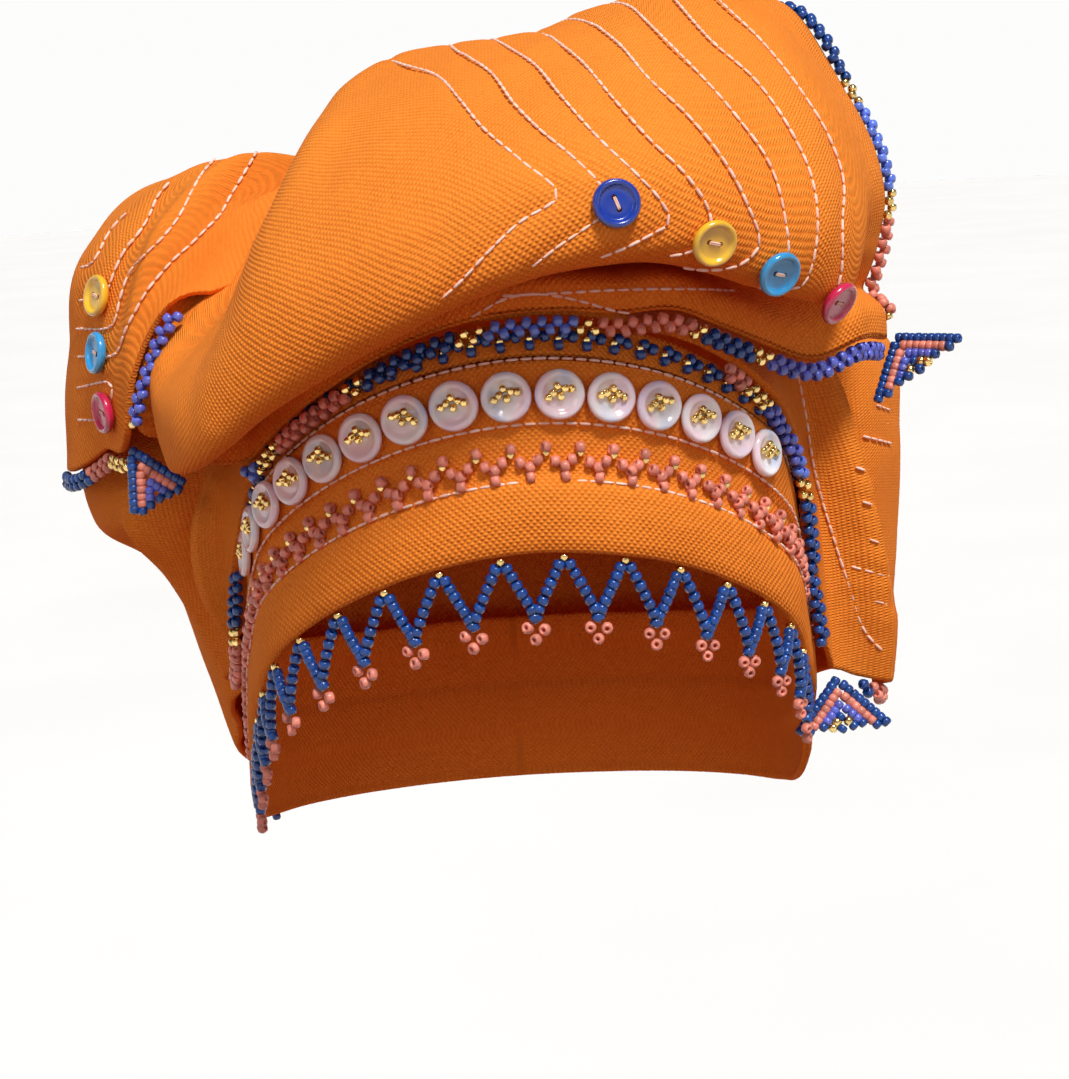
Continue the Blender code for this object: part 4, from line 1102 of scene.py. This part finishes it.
def beads(name, rows, spread):
    """Seed beads. Rows: place, axis, colour and scale; sizes and tilts vary a little."""
    colours = sorted({row[2] for row in rows})
    made = []
    for place, axis, colour, scale in rows:
        axis = unit(axis) + np.array([CHANCE.gauss(0, spread) for _ in range(3)])
        radius = BEAD_RADIUS * scale * CHANCE.uniform(0.95, 1.05)
        long = BEAD_LONG * scale * CHANCE.uniform(0.92, 1.06)
        made.append((place, axis, radius, long, colours.index(colour)))
    return copies(name, BEAD_SHAPE, made, [BEAD_PAINTS[colour] for colour in colours])


def stitches(name, lines):
    """Sewn lines: each is a list of points on the cloth with the cloth's outward direction."""
    rows = []
    for points, normals in lines:
        run = run_along(points)
        count = max(int(run[-1] / STITCH_STEP), 1)
        for k in range(count):
            middle = (k + 0.5) * run[-1] / count
            first, last = [spot_on(points, run, middle + s * STITCH_LONG / 2) for s in (-1, 1)]
            place = (first + last) / 2 + spot_on(normals, run, middle) * STITCH_RADIUS * 0.35
            rows.append((place, last - first, STITCH_RADIUS * CHANCE.uniform(0.9, 1.15),
                         STITCH_LONG * CHANCE.uniform(0.9, 1.06), 0))
    return copies(name, STITCH_SHAPE, rows, [THREAD])


def creased(grid, normals):
    """Small soft creases of worn canvas, over the whole cloth."""
    lift = []
    for point in grid.reshape(-1, 3):
        spot = Vector(point)
        broad = noise.noise(spot * BROAD_RATE)
        fine = noise.noise(spot * Vector(FINE_RATES) + Vector((7.0, 3.0, 1.0)))
        lift.append(BROAD_HEIGHT * broad + FINE_HEIGHT * fine)
    return grid + normals * np.array(lift).reshape(grid.shape[:2])[..., None]


def sewn_in(grid, normals, lines):
    """Cloth pulled in along its sewn lines."""
    if not lines:
        return grid
    points = [point for line, _ in lines for point in line]
    tree = KDTree(len(points))
    for number, point in enumerate(points):
        tree.insert(Vector(point), number)
    tree.balance()
    depth = np.zeros(grid.shape[:2])
    for cell in np.ndindex(depth.shape):
        _, _, far = tree.find(Vector(grid[cell]))
        if far < 3 * SEAM_WIDTH:
            depth[cell] = SEAM_DEPTH * math.exp(-(far / SEAM_WIDTH) ** 2)
    return grid - normals * depth[..., None]


def outer_tree(grid, closed):
    """Search tree of a cloth's outer face."""
    face = grid + grid_normals(grid, closed) * (CLOTH / 2)
    index = np.arange(face[..., 0].size).reshape(face.shape[:2]).T.tolist()
    quads = []
    for column, after in zip(index, index[1:]):
        quads += quads_between(column, after, closed)
    return BVHTree.FromPolygons([Vector(point) for point in face.reshape(-1, 3)], quads)


def drawn_on(tree, pixels):
    """Line through photo pixels, laid on a cloth's outer face where the camera sees it."""
    pixels = np.asarray(pixels, float)
    run = run_along(pixels)
    points, normals = [], []
    for where in np.arange(0.0, run[-1], LINE_SAMPLE):
        x, y = smooth_columns(run, pixels, where)
        hit, out, _, _ = tree.ray_cast(Vector(CAMERA_PLACE), Vector(sight_line(x, y)))
        if hit is None:
            continue
        out = np.array(out)
        if points and np.linalg.norm(np.array(hit) - points[-1]) > LINE_JUMP:
            if len(points) > 3:
                break
            points, normals = [], []
        points.append(np.array(hit))
        normals.append(-out if out @ CAMERA_BACK < 0 else out)
    return points, normals


def wall_shares(rows, columns, closed, pole):
    """Share of the wall's thickness at each grid point, thin at the free edges."""
    shares = np.ones((rows, columns))
    for near, thin in enumerate(EDGE_SHARES):
        shares[:, near] *= thin
        if not pole:
            shares[:, -1 - near] *= thin
        if not closed:
            shares[[near, -1 - near]] *= thin
    return shares[..., None]


def lay_threads(made, grid, closed):
    """Keeps the threads' run as UV coordinates in metres. In a closed cloth they run on over its last row."""
    rows, columns = grid.shape[:2]
    steps = np.linalg.norm(np.diff(grid, axis=0), axis=2)
    across, along = np.zeros((rows, columns)), np.zeros((rows, columns))
    across[1:] = np.cumsum(steps, axis=0)
    across -= across[rows // 2]
    along[:, 1:] = np.cumsum(np.linalg.norm(np.diff(grid, axis=1), axis=2), axis=1)
    run = np.stack((across, along), axis=2).reshape(-1, 2)
    corners = np.empty(len(made.data.loops), dtype=np.int32)
    made.data.loops.foreach_get("vertex_index", corners)
    spots = np.concatenate((run, run, np.zeros((2, 2))))[corners]
    if closed:
        owner = np.where(corners < 2 * rows * columns, corners // columns % rows, -1)
        starts = np.array([face.loop_start for face in made.data.polygons])
        last = np.maximum.reduceat(owner == rows - 1, starts)
        sizes = np.diff(np.append(starts, len(corners)))
        whole = across[-1].mean() - across[0].mean() + steps.mean()
        spots[:, 0] += np.repeat(last, sizes) * (owner == 0) * whole
    layer = made.data.uv_layers.new(name="run")
    layer.data.foreach_set("uv", spots.astype(np.float32).ravel())


def cloth(name, grid, lines, closed=False, pole=False):
    """Fine closed sheet of canvas over a grid of its mid face. A pole closes it to a point at the crown."""
    normals = grid_normals(grid, closed)
    grid = sewn_in(creased(grid, normals), normals, lines)
    normals = grid_normals(grid, closed)
    tip = grid[:, -1].mean(axis=0)
    if pole:
        grid, normals = grid[:, :-1], normals[:, :-1]
    rows, columns = grid.shape[:2]
    half = CLOTH / 2 * wall_shares(rows, columns, closed, pole)
    points = list(np.concatenate((grid + half * normals, grid - half * normals)).reshape(-1, 3))
    layers = np.arange(2 * rows * columns).reshape(2, rows, columns)
    outer, inner = layers
    faces = []
    for layer, turn in zip(layers, (1, -1)):
        for column, after in zip(layer.T, layer.T[1:]):
            faces += [quad[::turn] for quad in quads_between(column, after, closed)]
    faces += quads_between(inner[:, 0], outer[:, 0], closed)
    if pole:
        for layer, side in zip(layers, (1, -1)):
            points.append(tip + UP * side * CLOTH / 2 * np.sign(normals[:, -1, 2].mean()))
            ring = layer[:, -1]
            faces += [(ring[k], ring[(k + 1) % rows], len(points) - 1)[::side] for k in range(rows)]
    else:
        faces += quads_between(outer[:, -1], inner[:, -1], closed)
    if not closed:
        for row in (0, -1):
            faces += quads_between(outer[row], inner[row], False)
    made = mesh_object(name, points, faces, [CANVAS])
    faces_outward(made)
    lay_threads(made, grid, closed)
    return made


def dense(start, stop, count):
    """Evenly spread values, with close ones at both ends for the rolled hem."""
    lead = (stop - start) * 0.0022
    inner = list(np.linspace(start, stop, count))[1:-1]
    return [start, start + lead, start + 3 * lead] + inner + [stop - 3 * lead, stop - lead, stop]


def finish_piece(piece, slot, *nodes):
    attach(piece, "root")
    if nodes:
        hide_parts(*nodes)


def sewn_cloth(node, grid, pulled, lines, **ends):
    """A cloth pulled in along some lines, and the stitches of all its lines."""
    piece = cloth(node + "_canvas", grid, pulled, **ends)
    finish_piece(piece, "orange", node)
    sewn = stitches(node + "_stitches", lines)
    finish_piece(sewn, "salmon")


def seen_lines(tree, charts):
    """Sewn lines of which the camera sees more than two points."""
    lines = [drawn_on(tree, pixels) for pixels in charts]
    return [line for line in lines if len(line[0]) > 2]


def make_headband():
    turns = np.linspace(-180, 180, 281)[:-1]
    heights = sorted(set(list(np.linspace(0, 1, 46)) + [0.008, 0.02] + list(BAND_LINES)))
    grid = np.array([[band_point(turn, height, -CLOTH / 2) for height in heights] for turn in turns])
    steps = np.arange(-108.0, 109.0, 1.5)
    outs = [band_outward(turn) for turn in steps]
    lines = [(band_line(steps, level, 0.0004), outs) for level in BAND_LINES]
    sewn_cloth("headband", grid, (), lines, closed=True)


def make_wound_cloth():
    places = [0.0, 0.003, 0.008] + list(np.linspace(0.0, 1.0, 84))[1:]
    grid = grid_of(leaned_wrap_point, np.arange(-180.0, 180.0, 1.15), places)
    lines = seen_lines(outer_tree(grid, True), PANEL_LINES.values())
    sewn_cloth("wound_cloth", grid, lines, lines, closed=True, pole=True)


def carried_over(line, grid, aims, places):
    """A sewn line that leaves the view over the crest goes on down the back of the roll."""
    points, outs = line
    if len(points) < 12:
        return line
    spots = []
    for point in (points[0], points[9]):
        gaps = np.linalg.norm(grid - point, axis=2)
        row, column = np.unravel_index(int(np.argmin(gaps)), gaps.shape)
        spots.append((aims[row], places[column]))
    (top_aim, place), (low_aim, low_place) = spots
    if place < 0.50:
        return line
    slant = (top_aim - low_aim) / max(place - low_place, 0.004)
    slant = min(max(slant, -CARRY_SLANT), CARRY_SLANT)
    before, before_outs = [], []
    for spot in np.arange(place + CARRY_STEP, CARRY_END, CARRY_STEP):
        aim = top_aim + slant * CARRY_FADE * (1 - math.exp((place - spot) / CARRY_FADE))
        out = face_normal(roll_point, aim, spot)
        before.insert(0, roll_point(aim, spot) + out * CLOTH / 2)
        before_outs.insert(0, out)
    return before + points, before_outs + outs


def make_front_roll():
    aims, places = dense(-55.0, 49.0, 176), dense(0.0, 1.0, 190)
    grid = grid_of(met_roll_point, aims, places)
    tree = outer_tree(grid, False)
    lines = [drawn_on(tree, pixels) for pixels in (*ROLL_LINES.values(), *FOLD_LINES.values())]
    lines = [carried_over(line, grid, aims, places) for line in lines if len(line[0]) > 2]
    lines += seen_lines(tree, CREASE_LINES.values())
    sewn_cloth("front_roll", grid, lines, lines)


def make_side_wing():
    grid = grid_of(sunk_wing_point, dense(-105.0, -34.0, 130), dense(0.0, 1.0, 100))
    lines = seen_lines(outer_tree(grid, False), WING_LINES.values())
    sewn_cloth("side_wing", grid, lines, lines)


def channel_beads(name, period, pattern, level, first, last):
    """Beads sewn flat in a sunk channel of the band, one pattern after another."""
    fine = np.arange(first, last + 0.01, 0.25)
    run = run_along(band_line(fine, level))
    rows = []
    for number in range(int(run[-1] / period)):
        for colour, along, up in pattern:
            turn = float(np.interp(number * period + along / 1000, run, fine))
            ahead = band_point(turn + 1, up) - band_point(turn - 1, up)
            lean = UP * CHANCE.uniform(-0.5, 0.5) * np.linalg.norm(ahead)
            scale = 0.72 if colour == "gold" else 0.98
            rows.append((band_point(turn, up, BEAD_RADIUS * 0.80), ahead + lean, colour, scale))
    finish_piece(beads(name, rows, 0.15), pattern[0][0])


def colour_ends(name, line, run):
    """Distances along a rope at which it passes the pixels of its colour chart."""
    seen = np.array([pixel_of(point) for point in line])
    fine = np.linspace(0, run[-1], 400)
    track = spot_on(seen, run, fine).T
    ends = []
    for colour, x, y in ROPE_COLOURS[name]:
        nearest = fine[np.argmin(np.hypot(track[:, 0] - x, track[:, 1] - y))]
        ends.append((colour, max(nearest, ends[-1][1] if ends else 0.0)))
    return ends


def rope_beads(name, line, slot):
    """Edge rope: two staggered rows of beads sewn along the edge, side by side in the camera's view."""
    run = run_along(line)
    ends = colour_ends(name, line, run)
    rows, spot = [], ROPE_STEP / 2
    while spot < run[-1]:
        place = spot_on(line, run, spot)
        along = unit(spot_on(line, run, spot + 0.002) - spot_on(line, run, spot - 0.002))
        side = unit(np.cross(along, place * (1, 1, 0) - (0.0, GATHER_BACK, 0.0)))
        colour = next((c for c, end in ends if spot <= end), ends[-1][0])
        sign = 1 if len(rows) % 2 else -1
        offset = side * ROPE_SPREAD * sign + np.cross(along, side) * CHANCE.uniform(-0.0002, 0.0002)
        scale = 0.86 if colour == "gold" else 1.0
        rows.append((place + offset, along + side * ROPE_LEAN * sign, colour, scale))
        spot += ROPE_STEP
    finish_piece(beads(name + "_seed", rows, 0.10), slot, name)


def make_ropes():
    rope_beads("roll_edge_beads", along_hem(roll_point, 48.0, -36.0, 90), "navy")
    rope_beads("left_edge_beads", along_hem(wrap_point, -45.2, -60.0, 30), "navy")
    rope_beads("second_edge_beads", along_hem(wrap_point, 23.0, 44.0, 40), "periwinkle")
    rope_beads("panel_hem_beads", along_hem(wrap_point, 51.0, 74.0, 30), "navy")
    wing_edge = along_side(roll_point, 49.0, -2.0, 0.03, 0.84, 60) + (0.0012, -0.0016, 0.0004)
    rope_beads("wing_edge_beads", wing_edge, "periwinkle")
    rope_beads("side_wing_edge_beads", along_hem(wing_point, -46.6, -51.2, 18, seated=False), "periwinkle")
    rope_beads("side_wing_hem_beads", along_hem(wing_point, -54.0, -78.0, 26, seated=False), "salmon")


def make_fringe():
    """Zigzag fringe: a gold bead at each top, navy legs, three salmon beads at each tip."""
    turns = fringe_turns()[2:]
    line = band_line(turns, 0.0, -CLOTH / 2)
    tops, tips = line - UP * (2 * CLEAR + 0.0010), line - UP * (FRINGE_DROP + 0.0006)
    rows = []
    for number, turn in enumerate(turns):
        if number % 2 == 0:
            rows.append((tops[number] + UP * 0.0004, (0.1, 0.0, 1.0), "gold", 0.8))
            continue
        outward = band_outward(turn)
        side = np.cross(outward, UP)
        tip = tips[number]
        for near in (number - 1, number + 1):
            lean = side * 0.0006 * (1 if near < number else -1)
            for k in range(1, LEG_BEADS + 1):
                share = (k - 0.35) / LEG_BEADS
                place = tops[near] * (1 - share) + tip * share + outward * 0.0006 * math.sin(math.pi * share)
                rows.append((place - lean, tip - tops[near], "navy", 1.0))
        for across, drop in TIP_BEADS:
            rows.append((tip + side * across - UP * drop, outward + side * 0.6, "salmon", 1.0))
    finish_piece(beads("bead_fringe_seed", rows, 0.12), "navy", "bead_fringe")


def tab_beads(name, apex, first, second):
    """Woven triangle: strings of beads parallel to the two legs, layer inside layer."""
    legs = unit(first), unit(second)
    middle = unit(legs[0] + legs[1])
    half = math.acos(float(legs[0] @ legs[1])) / 2
    reach = TAB_LEG * math.cos(half) + 0.0020
    rows = []
    for layer, layer_colour in enumerate(TAB_LAYERS):
        deep = (0.0011 + TAB_ROW * layer) / math.sin(half)
        for side, leg in enumerate(legs):
            count = int(max((reach - deep) / float(leg @ middle), 0) / TAB_STEP + 0.5)
            for k in range(side, count):
                colour = "navy" if k == count - 1 and layer else layer_colour
                colour = "gold" if (layer, side, k) in TAB_GOLD else colour
                rows.append((apex + middle * deep + leg * (k + 0.3) * TAB_STEP, leg, colour, 0.93))
    finish_piece(beads(name + "_seed", rows, 0.08), "navy", name)


def make_tabs():
    for name, face, aim, shift, first, second in TABS:
        tab_beads(name, CLOTH_FACES[face](aim, 0.0) + shift, first, second)


def round_piece(name, shape, sides, half, thick, place, facing, material):
    """Turned piece that lies on a place, and the directions across it and up it."""
    across = unit(np.cross(facing, UP))
    upward = np.cross(across, facing)
    points, faces = turned([(radius * half, height * thick) for radius, height in shape], sides)
    made = mesh_object(name, points @ np.array([across, upward, facing]) + place, faces, [material])
    faces_outward(made)
    return made, across, upward


def make_pearls():
    """Pearl buttons along the band, each with its cluster of gold beads."""
    rows = []
    turns, diameter = pearl_row()
    for number, turn in enumerate(turns, 1):
        name = "pearl_button_%02d" % number
        up = band_point(turn, PEARL_LEVEL + 0.08) - band_point(turn, PEARL_LEVEL - 0.08)
        side = band_point(turn + 1, PEARL_LEVEL) - band_point(turn - 1, PEARL_LEVEL)
        facing = unit(np.cross(side, up))
        place = band_point(turn, PEARL_LEVEL) + facing * CLEAR
        made, across, upward = round_piece(name + "_shell", PEARL_SHAPE, 40, diameter / 2, PEARL_THICK,
                                           place, facing, PEARL)
        finish_piece(made, "pearl", name)
        turned_by = CHANCE.uniform(-0.35, 0.35)
        right = across * math.cos(turned_by) + upward * math.sin(turned_by)
        top = upward * math.cos(turned_by) - across * math.sin(turned_by)
        middle = place + facing * (PEARL_THICK * 0.60 + 0.0006) + upward * 0.0001
        for k, (x, y) in enumerate(PEARL_CLUSTER):
            axis = across * math.cos(k * 1.3) + upward * math.sin(k * 1.3)
            rows.append((middle + (right * x + top * y) / 1000, axis, "gold", 0.70))
    finish_piece(beads("pearl_gold_beads", rows, 0.25), "pearl")


def drill(made, places, facing):
    """Cuts a button's round holes."""
    for place in places:
        bpy.ops.mesh.primitive_cylinder_add(vertices=20, radius=HOLE_RADIUS, depth=0.008, location=place)
        tool = bpy.context.object
        tool.rotation_euler = Vector(facing).to_track_quat("Z", "Y").to_euler()
        cut = made.modifiers.new("hole", "BOOLEAN")
        cut.operation, cut.solver, cut.object = "DIFFERENCE", "EXACT", tool
        bpy.context.view_layer.update()
        ready = bpy.data.meshes.new_from_object(made.evaluated_get(bpy.context.evaluated_depsgraph_get()))
        made.modifiers.clear()
        made.data = ready
        bpy.data.objects.remove(tool, do_unlink=True)
    made.data.shade_smooth()
    made.data.set_sharp_from_angle(angle=math.radians(40))


def make_buttons():
    """Two-hole buttons of the wings, each sewn on with two threads."""
    threads = []
    for cloth_name, colour, aim, spot in WING_BUTTONS:
        name = "%s_button_%s" % (cloth_name, colour)
        face = CLOTH_FACES[cloth_name]
        facing = face_normal(face, aim, spot)
        seat = face(aim, spot) + facing * (CLOTH / 2 + CLEAR)
        made, across, upward = round_piece(name + "_disc", BUTTON_SHAPE, 48, BUTTON_DIAMETER / 2,
                                           BUTTON_THICK, seat, facing, BUTTON_PAINTS[colour])
        way = unit(across * 0.35 + upward if colour == "navy" else across + upward * 0.25)
        drill(made, [seat + facing * BUTTON_THICK * 0.4 + way * s * HOLE_APART for s in (-1, 1)], facing)
        finish_piece(made, colour, name)
        for shift in (-0.00018, 0.00018):
            place = seat + facing * (BUTTON_THICK * 0.64 + 0.00012) + np.cross(way, facing) * shift
            threads.append((place, way, 0.00022, 0.0029, 0))
    finish_piece(copies("button_threads", STITCH_SHAPE, threads, [THREAD]), "orange")


CLOTH_FACES = {"wrap": wrap_point, "roll": roll_point, "wing": wing_point}
CHANCE = random.Random(7)
CANVAS = canvas_material()
BEAD_PAINTS = {name: bead_material(name) for name in BEAD_LOOKS}
THREAD = thread_material()
PEARL = pearl_material()
BUTTON_PAINTS = {name: plastic_material(name) for name in BUTTON_COLOURS}

make_camera()
make_studio()
make_headband()
make_wound_cloth()
make_front_roll()
make_side_wing()
channel_beads("pink_channel_beads", PINK_PERIOD, PINK_UNIT, 0.40, -104.0, 100.0)
channel_beads("blue_row_beads", BLUE_PERIOD, BLUE_UNIT, 0.92, -62.0, 84.0)
make_pearls()
make_buttons()
make_ropes()
make_fringe()
make_tabs()
